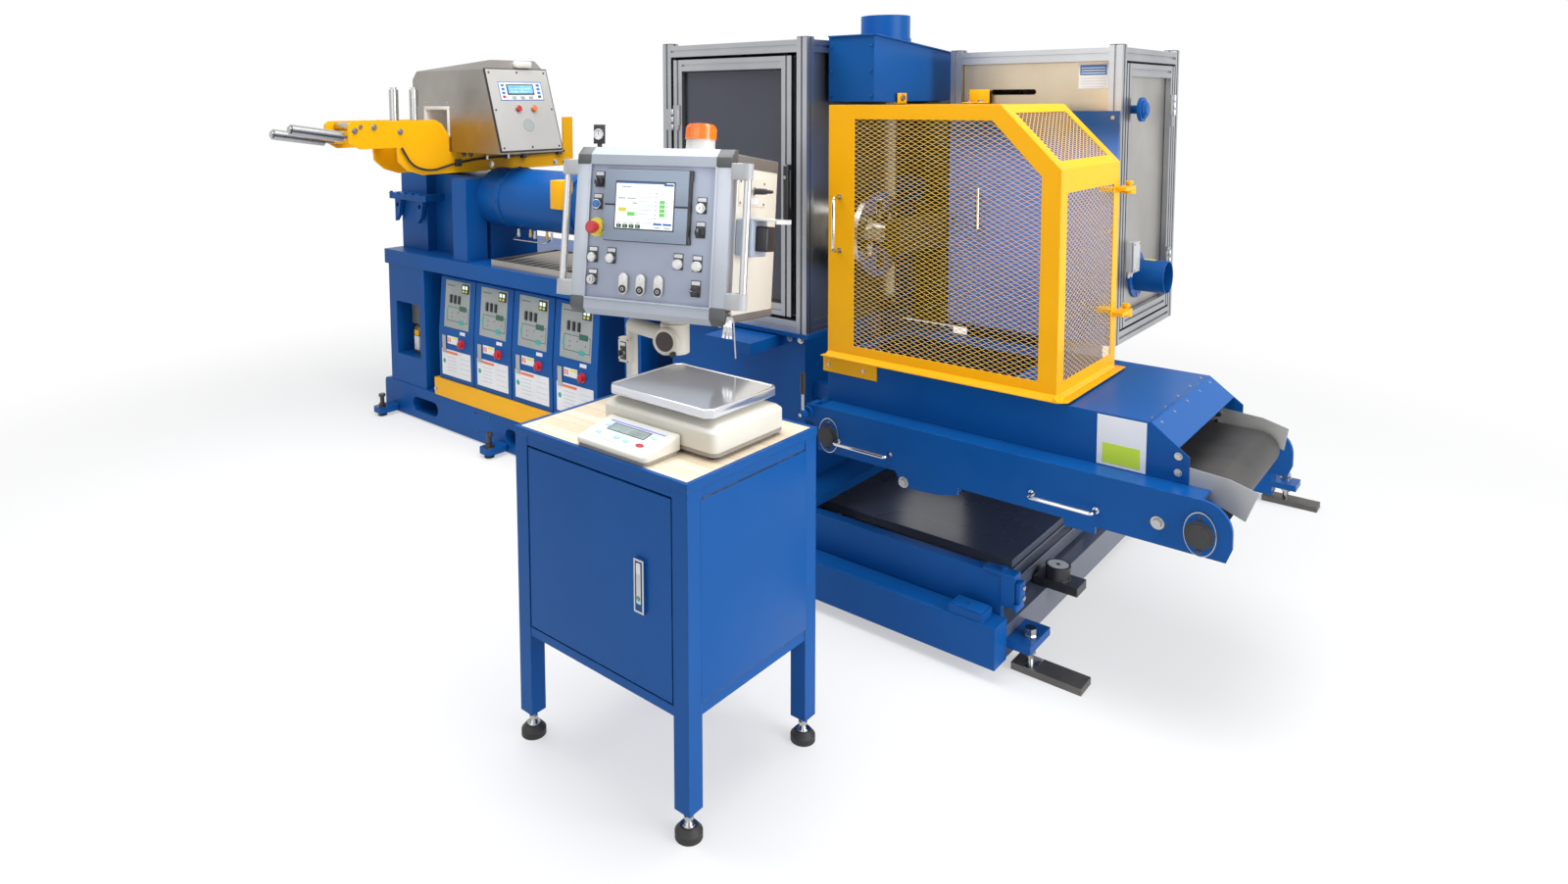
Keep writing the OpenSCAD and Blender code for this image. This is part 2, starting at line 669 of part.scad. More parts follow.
// ---------- mesh guard ----------
guard_u = 3090;
guard_v = -85;
guard_z = hood_top + 6;
rim = 48;
stile = 104;
right_rim = 58;
hinge = [guard_u + guard_w + 14, guard_v + guard_d + 56];
module front_outline() {
  polygon([[0, 0], [guard_w, 0], [guard_w, guard_h - guard_cut],
    [guard_w - guard_cut, guard_h], [0, guard_h]]);
}
module front_window() {
  polygon([[stile, rim], [guard_w - right_rim, rim],
    [guard_w - right_rim, guard_h - guard_cut - 22],
    [guard_w - guard_cut - 26, guard_h - rim], [stile, guard_h - rim]]);
}
module guard_frame() color(yellow) {
  // front sheet with its window
  cplace([guard_u, guard_v, guard_z]) rotate([90, 0, 0]) translate([0, 0, -sheet])
    linear_extrude(sheet) difference() {
      front_outline();
      front_window();
    }
  // right side sheet with its window
  cplace([guard_u + guard_w - sheet, guard_v + sheet, guard_z]) rotate([90, 0, 90])
    linear_extrude(sheet) difference() {
      square([guard_d - sheet, guard_h - guard_cut]);
      translate([rim, rim]) square([guard_d - sheet - 2 * rim, guard_h - guard_cut - rim - 70]);
    }
  // sloping sheet over the chamfer
  cplace([guard_u + guard_w - guard_cut, guard_v + sheet, guard_z + guard_h])
    rotate([0, 45, 0]) translate([0, 0, -sheet]) linear_extrude(sheet) difference() {
      square([guard_cut * sqrt(2), guard_d - sheet]);
      translate([34, rim]) square([guard_cut * sqrt(2) - 68, guard_d - sheet - 2 * rim]);
    }
  // top border, and the foot flange that stands out at the front and the right
  cplace([guard_u, guard_v + sheet, guard_z + guard_h - sheet]) linear_extrude(sheet)
    difference() {
      square([guard_w - guard_cut, guard_d - sheet]);
      translate([-1, 60]) square([guard_w - guard_cut - 59, guard_d - sheet - 120]);
    }
  cplace([guard_u - 14, guard_v - 26, guard_z]) linear_extrude(sheet)
    polygon([[0, 0], [guard_w + 26, 0], [guard_w + 50, 24], [guard_w + 50, guard_d + 26],
      [guard_w + 13, guard_d + 26], [guard_w + 13, 27], [0, 27]]);
  // hinge lugs at the back of the right side
  for (z = [176, 590]) cplace([0, 0, guard_z + z]) difference() {
    union() {
      translate([hinge.x, hinge.y, 0]) cylinder(h = 12, d = 40);
      translate([guard_u + guard_w - sheet, guard_v + guard_d - 40, 0])
        cube([hinge.x + 20 - guard_u - guard_w + sheet, 96, 12]);
    }
    translate([hinge.x, hinge.y, -1]) cylinder(h = 14, d = 16.1);
  }
}
mesh_t = 2;
bar = 5;
// sloping bars both ways over a window that starts at the origin
module lattice(w, h) {
  rise = w * mesh_s / mesh_l;
  for (i = [0 : ceil((h + rise) / mesh_s)]) {
    y = (i + 0.5) * mesh_s - rise;
    polygon([[0, y - bar / 2], [w, y + rise - bar / 2], [w, y + rise + bar / 2],
      [0, y + bar / 2]]);
    polygon([[0, y + rise - bar / 2], [w, y - bar / 2], [w, y + bar / 2],
      [0, y + rise + bar / 2]]);
  }
}
module mesh_front()
  cplace([guard_u, guard_v + sheet + mesh_t, guard_z]) rotate([90, 0, 0])
    linear_extrude(mesh_t) intersection() {
      offset_window();
      translate([stile - lap, rim - lap])
        lattice(guard_w - stile - right_rim + 2 * lap, guard_h - 2 * rim + 2 * lap);
    }
lap = 12;
module offset_window() {
  polygon([[stile - lap, rim - lap], [guard_w - right_rim + lap, rim - lap],
    [guard_w - right_rim + lap, guard_h - guard_cut - 22 + 6],
    [guard_w - guard_cut - 26 + 6, guard_h - rim + lap], [stile - lap, guard_h - rim + lap]]);
}
module mesh_side() {
  w = guard_d - sheet - 2 * rim + 2 * lap;
  h = guard_h - guard_cut - rim - 70 + 2 * lap;
  cplace([guard_u + guard_w - sheet - mesh_t, guard_v + sheet, guard_z]) rotate([90, 0, 90])
    linear_extrude(mesh_t) translate([rim - lap, rim - lap]) intersection() {
      square([w, h]);
      lattice(w, h);
    }
}
module mesh_top() {
  w = guard_cut * sqrt(2) - 48;
  h = guard_d - sheet - 2 * rim + 2 * lap;
  cplace([guard_u + guard_w - guard_cut, guard_v + sheet, guard_z + guard_h])
    rotate([0, 45, 0]) translate([24, rim - lap, -sheet - mesh_t]) linear_extrude(mesh_t)
      intersection() {
        square([w, h]);
        lattice(w, h);
      }
}
module guard_mesh() color(yellow) {
  mesh_front();
  mesh_side();
  mesh_top();
}
// fixed half of the guard hinge, bolted to the right enclosure
module hinge_half() for (z = [176, 590])
  cplace([0, 0, guard_z + z]) {
    translate([hinge.x, hinge.y, -14]) cylinder(h = 13.7, d = 40);
    translate([rig_u + rig_w - prof, hinge.y, -14])
      cube([hinge.x - rig_u - rig_w + prof, 20, 13.7]);
    translate([rig_u + rig_w - prof, hinge.y, -14]) cube([prof, rig_v - 6.3 - hinge.y, 13.7]);
    translate([hinge.x, hinge.y, -14]) cylinder(h = 40, d = 16);
    translate([hinge.x, hinge.y, 18]) cylinder(h = 10, d = 26);
  }

// ---------- conveyor ----------
conv_u = 3110;
conv_v = -170;
conv_d = hood_d + 2 * conv_flange;
end_c = conv_u + conv_l - conv_h / 2;
beam_z = conv_top - conv_h;
module beam_outline() {
  r = conv_h / 2;
  // short step under the beam, lower corner cut off a little, quarter round above
  polygon(concat([[0, 0], [853, 0], [853, -21], [942, -21], [942, 0], [conv_l - 14, 0], [conv_l, 38]],
    [for (a = [0:7.5:90]) [conv_l - r + r * cos(a), r + r * sin(a)]], [[0, conv_h]]));
  translate([-20, conv_h - 84]) square([22, 84]);
  // bracket under the beam
  translate([299, -46]) polygon([[0, 50], [20, 16], [60, 0], [150, 6], [222, 22], [222, 50]]);
}
module conveyor_frame() color(blue) {
  cross_tube();
  for (v = [0, conv_d - 12]) cplace([conv_u, conv_v + v, beam_z]) rotate([90, 0, 0])
    translate([0, 0, -12]) linear_extrude(12) beam_outline();
  for (v = [12, conv_d - conv_flange - 2.7])
    cbox([conv_u, conv_v + v, conv_top - 8], [conv_l - conv_h / 2, conv_flange - 9.3, 8]);
  // inner webs and cross members
  for (v = [conv_flange - 3, conv_d - conv_flange - 5])
    cbox([conv_u + 40, conv_v + v, beam_z + 20], [hood_u + hood_l - conv_u - 46, 5.7, conv_h - 28]);
  // stub shafts of the two belt rollers
  for (u = [conv_u + 90, end_c], v = [conv_v + 2, conv_v + conv_d - 2 - shaft_l])
    cplace([u, v, conv_top - 44]) rotate([-90, 0, 0]) cylinder(h = shaft_l, d = shaft_d);
  for (u = [100, 520, 940]) cbox([conv_u + u, conv_v + 12, beam_z + 20],
    [60, conv_d - 24, 30]);
}
belt_w = hood_d - 40;
shaft_d = 30;
shaft_l = (conv_d - belt_w) / 2 - 2.3;
module conveyor_belt() color(black) {
  cplace([0, conv_v + conv_d / 2 + belt_w / 2, conv_top - 44]) rotate([90, 0, 0])
    linear_extrude(belt_w) {
      for (u = [conv_u + 90, end_c]) translate([u, 0]) circle(d = end_roller_d);
      translate([conv_u + 90, -end_roller_d / 2]) square([end_c - conv_u - 90, end_roller_d]);
    }
}
hood_l = 1078;
hood_u = 3092;
hood_fall = 0.76;              // slope of the end of the hood
hood_in = hood_top - conv_top;
module hood_side() {
  polygon([[0, 0], [hood_l + 100, 0], [hood_l + 100, hood_in - 100 * hood_fall],
    [hood_l, hood_in], [0, hood_in]]);
}
// folded sheet seen from the side: flat top, then the slope
module hood_roof() {
  turn = atan(hood_fall);
  reach = hood_l + 72;
  polygon([[0, hood_in - sheet], [hood_l - sheet * tan(turn / 2), hood_in - sheet],
    [reach, hood_in - 72 * hood_fall - sheet / cos(turn)], [reach, hood_in - 72 * hood_fall],
    [hood_l, hood_in], [0, hood_in]]);
}
module hood() color(blue) {
  for (v = [0, hood_d - sheet])
    cplace([hood_u, conv_v + conv_flange + v, conv_top]) rotate([90, 0, 0])
      translate([0, 0, -sheet]) linear_extrude(sheet) hood_side();
  difference() {
    cplace([hood_u, conv_v + conv_flange + hood_d - sheet, conv_top]) rotate([90, 0, 0])
      linear_extrude(hood_d - 2 * sheet) hood_roof();
    cbox([hood_u + 40, conv_v + conv_flange + 60, hood_top - 10], [560, 400, 20]);
  }
}
// yellow plate that the guard closes on
module guard_fixings() color(yellow) {
  hinge_half();
  cbox([3076, conv_v + conv_flange - 6.3, hood_top - 50], [214, 6, 50]);
}
near_guide = [[0, -36], [185, -42], [240, -64], [270, 20], [200, 40], [0, 56]];
far_guide = [[0, -33], [145, -23], [218, -42], [229, 28], [157, 48], [0, 58]];
module guide_plate(v, outline) {
  cplace([hood_u + hood_l, v, conv_top]) rotate([90, 0, 0]) translate([0, 0, -3])
    linear_extrude(3) difference() {
      polygon(outline);
      translate([end_c - hood_u - hood_l, -44]) circle(d = shaft_d + 1);
    }
}
module belt_guides() color(steel) {
  guide_plate(conv_v + conv_flange + sheet, near_guide);
  guide_plate(conv_v + conv_flange + hood_d - sheet - 3, far_guide);
}
module cross_tube() {
  cplace([3066, conv_v - 10, conv_top - 30]) rotate([-90, 0, 0])
    cylinder(h = conv_d + 20, d = 44);
  for (v = [60, 380]) cbox([cen_u + cen_w - 20, v, conv_top - 60],
    [3066 - cen_u - cen_w + 20, 40, 60]);
  for (v = [conv_v, conv_v + conv_d - 12]) cbox([3060, v, conv_top - 60], [30, 12, 60]);
}
lever = [3066, conv_v - 22, conv_top - 30];
module clamp_lever() color(black) {
  cplace([lever.x, lever.y - 20, lever.z]) rotate([-90, 0, 0]) cylinder(h = 31.7, d = 30);
  cplace([lever.x, lever.y - 8, lever.z]) cylinder(h = 80, d = 12);
  cplace([lever.x, lever.y - 8, lever.z + 72]) cylinder(h = 78, d = 24);
}

// ---------- pendant and pedestal ----------
pen_axis = [2915, -680];
pen_low = 1081;               // underside of the pendant at its axis
ped = [2690, -650];
arm_z = 1005;
module pendant_pedestal() color(cream) {
  cplace([ped.x - 110, ped.y - 110, 0]) cube([220, 220, 10]);
  cplace([ped.x, ped.y, 10]) cylinder(h = arm_z - 5, d = 38);
  cplace([ped.x, ped.y, arm_z])
    rotate([0, 90, atan2(pen_axis.y - ped.y, pen_axis.x - ped.x)])
      cylinder(h = norm(pen_axis - ped), d = 50);
  cplace([pen_axis.x, pen_axis.y, arm_z - 48]) cylinder(h = 96, d = 92);
}
module pen_place() {
  cplace([pen_axis.x, pen_axis.y, pen_low]) rotate([0, 0, pen_turn]) rotate([-pen_tilt, 0, 0])
    children();
}
module pendant_box() color(cream) {
  pen_place() translate([-pen_w / 2 + 8, -pen_d / 2 + 30.3, 0])
    cube([pen_w - 16, pen_d - 30.3, pen_h - 6]);
  // base of the lamp on top
  pen_place() translate([60, 0, pen_h - 7]) cylinder(h = 96, d = 104);
  cplace([pen_axis.x, pen_axis.y, arm_z + 48.3]) cylinder(h = pen_low - arm_z - 38, d = 70);
}
module pendant_face() color(alu)
  pen_place() {
    translate([-pen_w / 2, -pen_d / 2 - 16, -6]) cube([pen_w, 46, pen_h]);
    // grab rails at both sides
    for (x = [-1, 1]) {
      translate([x * (pen_w / 2 + 44), -pen_d / 2 + 4, 60]) cylinder(h = pen_h - 110, d = 22);
      for (z = [50, pen_h - 90]) translate([x > 0 ? pen_w / 2 : -pen_w / 2 - 60,
        -pen_d / 2 - 12, z]) cube([60, 32, 40]);
    }
  }

// ---------- weigh station ----------
cab_u = 2893;
cab_v = -front_v + 10;
module weigh_cabinet() color(blue) {
  for (u = [0, cab_w - leg_w], v = [0, cab_d - leg_w])
    cbox([cab_u + u, cab_v + v, 70], [leg_w, leg_w, cab_h - 70 - 20]);
  difference() {
    cbox([cab_u + 2, cab_v + 2, cab_low], [cab_w - 4, cab_d - 4, cab_h - 20 - cab_low]);
    cbox([cab_u + leg_w, cab_v - 1, cab_low + 24], [cab_w - 2 * leg_w, 26,
      cab_h - 20 - cab_low - 48]);
    cbox([cab_u + leg_w + 8, cab_v + 20, cab_low + 32], [cab_w - 2 * leg_w - 16,
      cab_d - 60, cab_h - 20 - cab_low - 64]);
  }
  difference() {
    cbox([cab_u - 2, cab_v - 2, cab_h - 20], [cab_w + 4, cab_d + 4, 20]);
    cbox([cab_u + 10, cab_v + 10, cab_h - 12], [cab_w - 20, cab_d - 20, 20]);
  }
}
module cabinet_top() color([0.85, 0.72, 0.55])
  cbox([cab_u + 10.3, cab_v + 10.3, cab_h - 12], [cab_w - 20.6, cab_d - 20.6, 11]);
module cabinet_door() color(blue) {
  cbox([cab_u + leg_w + 5, cab_v + 1, cab_low + 29], [cab_w - 2 * leg_w - 10, 18,
    cab_h - 20 - cab_low - 58]);
  cbox([cab_u + cab_w - leg_w - 121, cab_v - 7, 520], [32, 8, 132]);
}
module levelling_feet() color(black)
  for (u = [leg_w / 2, cab_w - leg_w / 2], v = [leg_w / 2, cab_d - leg_w / 2])
    cplace([cab_u + u, cab_v + v, 0]) {
      cylinder(h = 16, d = 68);
      translate([0, 0, 16]) cylinder(h = 14, d1 = 68, d2 = 44);
      translate([0, 0, 30]) cylinder(h = 40, d = 12);
    }
sc_u = 3087;
sc_v = -1150;
sc_foot = 10;
module scale_body() color(cream) cplace([sc_u, sc_v, cab_h - 1]) {
  translate([0, 0, sc_foot]) round_plate(plat_w + 36, plat_d + 4, 84, 24);
  for (u = [30, plat_w + 6], v = [30, plat_d - 26]) translate([u, v, 0])
    cylinder(h = sc_foot, d = 30);
  translate([plat_w / 2 + 18, plat_d / 2 + 2, sc_foot + 84]) cylinder(h = 26.7, d = 90);
}
module scale_platter() color(steel) cplace([sc_u + 16, sc_v + 4, cab_h - 1 + sc_foot + 90])
  difference() {
    round_plate(plat_w, plat_d, 24, 14);
    translate([3, 3, -1]) round_plate(plat_w - 6, plat_d - 6, 22, 11);
  }
module scale_indicator() color(cream) cplace([sc_u + 40, sc_v - 134, cab_h - 1])
  rotate([90, 0, 90]) linear_extrude(252)
    polygon([[0, 4], [8, 0], [130, 0], [130, 46], [122, 50], [0, 22]]);

extruder_base();
jacking_bolts();
grease_column();
grease_pump();
temperature_units();
kick_shelf();
table_frame();
feed_housing();
drive_barrel();
catch_tray();
feed_bracket();
metal_detector();
detector_panel();
feed_roller_left();
feed_roller_right();
cross_roller();
post_roller_front();
post_roller_rear();
roller_spindles();
cutter_body();
centre_frame();
centre_panels();
centre_door_frame();
centre_door_pane();
duct_tower();
right_frame();
right_panels();
right_face_panel();
right_door_frame();
right_door_sheet();
door_fittings();
die_head();
cutter_drive();
cutter_head();
guard_frame();
guard_mesh();
guard_fixings();
hood();
conveyor_frame();
conveyor_belt();
belt_guides();
clamp_lever();
lower_base();
base_tray();
beam_stop();
foot_bars();
jack_screws();
pendant_pedestal();
pendant_box();
pendant_face();
weigh_cabinet();
cabinet_door();
cabinet_top();
levelling_feet();
scale_body();
scale_platter();
scale_indicator();
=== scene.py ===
import json
import math

import bmesh
import bpy
from mathutils import Matrix, Vector


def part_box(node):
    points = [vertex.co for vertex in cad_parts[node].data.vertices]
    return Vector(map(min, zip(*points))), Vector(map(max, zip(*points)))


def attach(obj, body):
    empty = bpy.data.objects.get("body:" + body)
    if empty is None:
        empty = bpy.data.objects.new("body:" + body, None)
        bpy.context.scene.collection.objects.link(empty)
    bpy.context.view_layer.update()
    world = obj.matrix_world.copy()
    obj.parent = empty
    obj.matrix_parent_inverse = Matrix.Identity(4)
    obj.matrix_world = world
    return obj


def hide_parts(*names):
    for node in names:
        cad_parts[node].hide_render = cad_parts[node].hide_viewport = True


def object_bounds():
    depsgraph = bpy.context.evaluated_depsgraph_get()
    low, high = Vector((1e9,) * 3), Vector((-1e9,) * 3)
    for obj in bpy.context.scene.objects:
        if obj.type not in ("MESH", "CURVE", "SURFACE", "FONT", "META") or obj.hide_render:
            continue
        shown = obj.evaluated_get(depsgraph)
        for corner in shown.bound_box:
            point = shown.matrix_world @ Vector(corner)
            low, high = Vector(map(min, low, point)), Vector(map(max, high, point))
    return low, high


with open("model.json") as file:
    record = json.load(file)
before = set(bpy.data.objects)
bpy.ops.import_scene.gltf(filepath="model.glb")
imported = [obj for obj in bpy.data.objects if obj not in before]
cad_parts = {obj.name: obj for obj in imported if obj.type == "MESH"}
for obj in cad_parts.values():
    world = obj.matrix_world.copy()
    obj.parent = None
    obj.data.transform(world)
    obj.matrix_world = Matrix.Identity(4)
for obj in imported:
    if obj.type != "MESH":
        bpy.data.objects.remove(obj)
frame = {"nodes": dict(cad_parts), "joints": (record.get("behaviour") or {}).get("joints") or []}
cad_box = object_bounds()
nodes = frame["nodes"]
joints = {j["name"]: j for j in frame["joints"]}

# ---------------------------------------------------------------- camera
# A camera at standing height in front of the outlet end, turned along the line
# towards the extruder, with the lens shifted so that uprights stay upright.
eye = Vector((2.757, -3.161, 1.750))
turn, dip, lean = (math.radians(a) for a in (41.1, 4.525, -0.288))
ahead = Vector((-math.sin(turn) * math.cos(dip), math.cos(turn) * math.cos(dip), -math.sin(dip)))
level = Vector((math.cos(turn), math.sin(turn), 0))
upright = level.cross(ahead)
across = level * math.cos(lean) + upright * math.sin(lean)
above = upright * math.cos(lean) - level * math.sin(lean)
lens = bpy.data.cameras.new("camera")
lens.lens = 22.248
lens.sensor_width = 36
lens.sensor_fit = "HORIZONTAL"
lens.shift_x = 0.0469
lens.shift_y = -0.1694
camera = bpy.data.objects.new("camera", lens)
bpy.context.scene.collection.objects.link(camera)
camera.matrix_world = Matrix((across, above, -ahead)).transposed().to_4x4()
camera.location = eye
bpy.context.scene.camera = camera

# ---------------------------------------------------------------- studio
# A pale floor and soft boxes round the line: one overhead, one beyond the outlet
# end and one behind the camera. The world is white where the camera sees it.
low, high = cad_box
middle = (Vector(low) + Vector(high)) / 2


def node(tree, kind, **values):
    made = tree.nodes.new(kind)
    for key, value in values.items():
        if key in made.inputs:
            made.inputs[key].default_value = value
        else:
            setattr(made, key, value)
    return made


def link(tree, *pairs):
    for source, target in pairs:
        tree.links.new(source, target)


def preset(made, values):
    for socket, value in values.items():
        made.inputs[socket].default_value = value


def ray_switch(tree, hidden, seen):
    """Mixes two shaders: what lights the object, and what the camera and metal see."""
    ray = node(tree, "ShaderNodeLightPath")
    either = node(tree, "ShaderNodeMath", operation="MAXIMUM")
    third = node(tree, "ShaderNodeMath", operation="MAXIMUM")
    mix = node(tree, "ShaderNodeMixShader")
    link(tree,
        (ray.outputs["Is Camera Ray"], either.inputs[0]),
        (ray.outputs["Is Glossy Ray"], either.inputs[1]), (either.outputs[0], third.inputs[0]),
        (ray.outputs["Is Transmission Ray"], third.inputs[1]), (third.outputs[0], mix.inputs[0]),
        (hidden, mix.inputs[1]), (seen, mix.inputs[2]))
    return mix.outputs[0]


world = bpy.data.worlds.new("studio")
bpy.context.scene.world = world
world.use_nodes = True
tree = world.node_tree
tree.nodes.clear()
dim = node(tree, "ShaderNodeBackground", Strength=0.36)
dim.inputs["Color"].default_value = (0.93, 0.96, 1.0, 1)
white = node(tree, "ShaderNodeBackground", Strength=1.0)
white.inputs["Color"].default_value = (1, 1, 1, 1)
sky = node(tree, "ShaderNodeOutputWorld")
link(tree, (ray_switch(tree, dim.outputs[0], white.outputs[0]), sky.inputs["Surface"]))


def soft_box(name, place, aim, width, depth, watts, tint=(1, 1, 1)):
    light = bpy.data.lights.new(name, "AREA")
    light.shape = "RECTANGLE"
    light.size = width
    light.size_y = depth
    light.energy = watts
    light.color = tint
    lamp = bpy.data.objects.new(name, light)
    bpy.context.scene.collection.objects.link(lamp)
    lamp.location = place
    lamp.rotation_euler = (Vector(aim) - Vector(place)).to_track_quat("-Z", "Y").to_euler()


soft_box("overhead", middle + Vector((0.3, -0.6, 3.4)), middle, 5.0, 3.2, 250)
soft_box("outlet_side", (5.6, -0.4, 2.0), (1.0, 0.2, 1.0), 3.0, 3.0, 175)
soft_box("front", (0.6, -5.6, 2.6), (0.0, 0.0, 0.9), 4.5, 2.0, 40)

bpy.ops.object.select_all(action="DESELECT")
bpy.ops.mesh.primitive_plane_add(size=40, location=(0, 0, -0.0005))
floor = bpy.context.object
floor.name = "floor"
floor.data.materials.append(bpy.data.materials.new("pale_floor"))
tree = floor.data.materials[0]
tree.use_nodes = True
tree = tree.node_tree
tree.nodes.clear()
lit = node(tree, "ShaderNodeBsdfDiffuse")
lit.inputs["Color"].default_value = (0.90, 0.90, 0.90, 1)
paper = node(tree, "ShaderNodeEmission", Strength=1.0)
half = node(tree, "ShaderNodeMixShader", Fac=0.50)
link(tree,
    (lit.outputs[0], half.inputs[1]), (paper.outputs[0], half.inputs[2]))
# past a few metres the floor turns into the white backdrop
coords = node(tree, "ShaderNodeTexCoord")
reach = node(tree, "ShaderNodeVectorMath", operation="LENGTH")
fade = node(tree, "ShaderNodeMapRange", interpolation_type="SMOOTHSTEP")
preset(fade, {"From Min": 2.6, "From Max": 4.6})
far = node(tree, "ShaderNodeMixShader")
link(tree,
    (coords.outputs["Object"], reach.inputs[0]), (reach.outputs["Value"], fade.inputs["Value"]),
    (fade.outputs[0], far.inputs[0]), (half.outputs[0], far.inputs[1]),
    (paper.outputs[0], far.inputs[2]))
ground_out = node(tree, "ShaderNodeOutputMaterial")
link(tree, (ray_switch(tree, lit.outputs[0], far.outputs[0]), ground_out.inputs["Surface"]))
bpy.context.scene.view_settings.view_transform = "Standard"

# ---------------------------------------------------------------- painted steelwork
# Welded and folded steel, sprayed with two-pack enamel: blue for the machine, yellow
# for what is handled or guarded. Corners are rubbed through a little at the edges.


def new_group(name, inputs, outputs):
    """An empty shader group with named sockets: (tree, its input node, its output node)."""
    group = bpy.data.node_groups.new(name, "ShaderNodeTree")
    for label, kind, value in inputs:
        socket = group.interface.new_socket(name=label, in_out="INPUT",
            socket_type="NodeSocket" + kind)
        if value is not None:
            socket.default_value = value
    for label, kind in outputs:
        group.interface.new_socket(name=label, in_out="OUTPUT", socket_type="NodeSocket" + kind)
    return group, node(group, "NodeGroupInput"), node(group, "NodeGroupOutput")


# rubbed corners: a rounded normal, and a mask of the corners broken up by noise
corner, given, out = new_group("rubbed_corners",
    [("Radius", "Float", 0.003), ("Patchiness", "Float", 30.0)],
    [("Mask", "Float"), ("Normal", "Vector")])
round_off = node(corner, "ShaderNodeBevel", samples=4)
flat = node(corner, "ShaderNodeNewGeometry")
same = node(corner, "ShaderNodeVectorMath", operation="DOT_PRODUCT")
patches = node(corner, "ShaderNodeTexNoise", Detail=4.0)
coords = node(corner, "ShaderNodeTexCoord")
bite = node(corner, "ShaderNodeMapRange")
hole = node(corner, "ShaderNodeMapRange")
both = node(corner, "ShaderNodeMath", operation="MULTIPLY")
preset(bite, {"From Min": 0.985, "From Max": 0.86, "To Min": 0.0, "To Max": 1.0})
preset(hole, {"From Min": 0.50, "From Max": 0.62})
link(corner,
    (given.outputs["Radius"], round_off.inputs["Radius"]), (round_off.outputs[0], same.inputs[0]),
    (flat.outputs["Normal"], same.inputs[1]), (coords.outputs["Object"], patches.inputs["Vector"]),
    (given.outputs["Patchiness"], patches.inputs["Scale"]),
    (same.outputs["Value"], bite.inputs["Value"]), (patches.outputs[0], hole.inputs["Value"]),
    (bite.outputs[0], both.inputs[0]), (hole.outputs[0], both.inputs[1]),
    (both.outputs[0], out.inputs["Mask"]), (round_off.outputs[0], out.inputs["Normal"]))

# uneven tone: one colour drifting to another in soft clouds
tone, given, out = new_group("uneven_tone", [("Colour", "Color", None), ("Other", "Color", None),
    ("Scale", "Float", 3.0), ("Amount", "Float", 1.0)], [("Colour", "Color"), ("Value", "Float")])
coords = node(tone, "ShaderNodeTexCoord")
cloud = node(tone, "ShaderNodeTexNoise", Detail=5.0, Roughness=0.55)
spread = node(tone, "ShaderNodeMapRange")
preset(spread, {"From Min": 0.36, "From Max": 0.64})
strength = node(tone, "ShaderNodeMath", operation="MULTIPLY")
blend = node(tone, "ShaderNodeMix", data_type="RGBA")
link(tone,
    (coords.outputs["Object"], cloud.inputs["Vector"]),
    (given.outputs["Scale"], cloud.inputs["Scale"]), (cloud.outputs[0], spread.inputs["Value"]),
    (spread.outputs[0], strength.inputs[0]), (given.outputs["Amount"], strength.inputs[1]),
    (strength.outputs[0], blend.inputs[0]), (given.outputs["Colour"], blend.inputs[6]),
    (given.outputs["Other"], blend.inputs[7]), (blend.outputs[2], out.inputs["Colour"]),
    (spread.outputs[0], out.inputs["Value"]))


def shader(name):
    """A new material, its tree and its Principled node."""
    made = bpy.data.materials.new(name)
    made.use_nodes = True
    return made, made.node_tree, made.node_tree.nodes["Principled BSDF"]


def place_group(tree, group, **values):
    made = tree.nodes.new("ShaderNodeGroup")
    made.node_tree = group
    preset(made, values)
    return made


def roughen(tree, surface, source, low_value, high_value):
    """Roughness that follows a cloud value between two limits."""
    limits = node(tree, "ShaderNodeMapRange")
    preset(limits, {"To Min": low_value, "To Max": high_value})
    link(tree,
        (source, limits.inputs["Value"]), (limits.outputs[0], surface.inputs["Roughness"]))


def skin(tree, surface, normal, scale, height):
    """A fine all-over bump, such as orange peel or blasting, on top of a normal."""
    coords = node(tree, "ShaderNodeTexCoord")
    grain = node(tree, "ShaderNodeTexNoise", Scale=scale, Detail=2.0)
    bump = node(tree, "ShaderNodeBump", Strength=0.35, Distance=height)
    link(tree,
        (coords.outputs["Object"], grain.inputs["Vector"]),
        (grain.outputs[0], bump.inputs["Height"]))
    if normal:
        link(tree, (normal, bump.inputs["Normal"]))
    link(tree, (bump.outputs[0], surface.inputs["Normal"]))


def enamel(name, colour, other, bare, rough=0.30, gloss=0.3, radius=0.003, worn=1.0):
    made, tree, surface = shader(name)
    wear = place_group(tree, corner, Radius=radius)
    drift = place_group(tree, tone, Colour=(*colour, 1), Other=(*other, 1), Scale=1.8)
    rub = node(tree, "ShaderNodeMath", operation="MULTIPLY")
    rub.inputs[1].default_value = worn
    mix = node(tree, "ShaderNodeMix", data_type="RGBA")
    mix.inputs[7].default_value = (*bare, 1)
    link(tree,
        (wear.outputs["Mask"], rub.inputs[0]), (rub.outputs[0], mix.inputs[0]),
        (drift.outputs["Colour"], mix.inputs[6]), (mix.outputs[2], surface.inputs["Base Color"]))
    surface.inputs["Specular IOR Level"].default_value = gloss
    roughen(tree, surface, drift.outputs["Value"], rough, rough + 0.10)
    skin(tree, surface, wear.outputs["Normal"], 260, 0.0006)
    return made


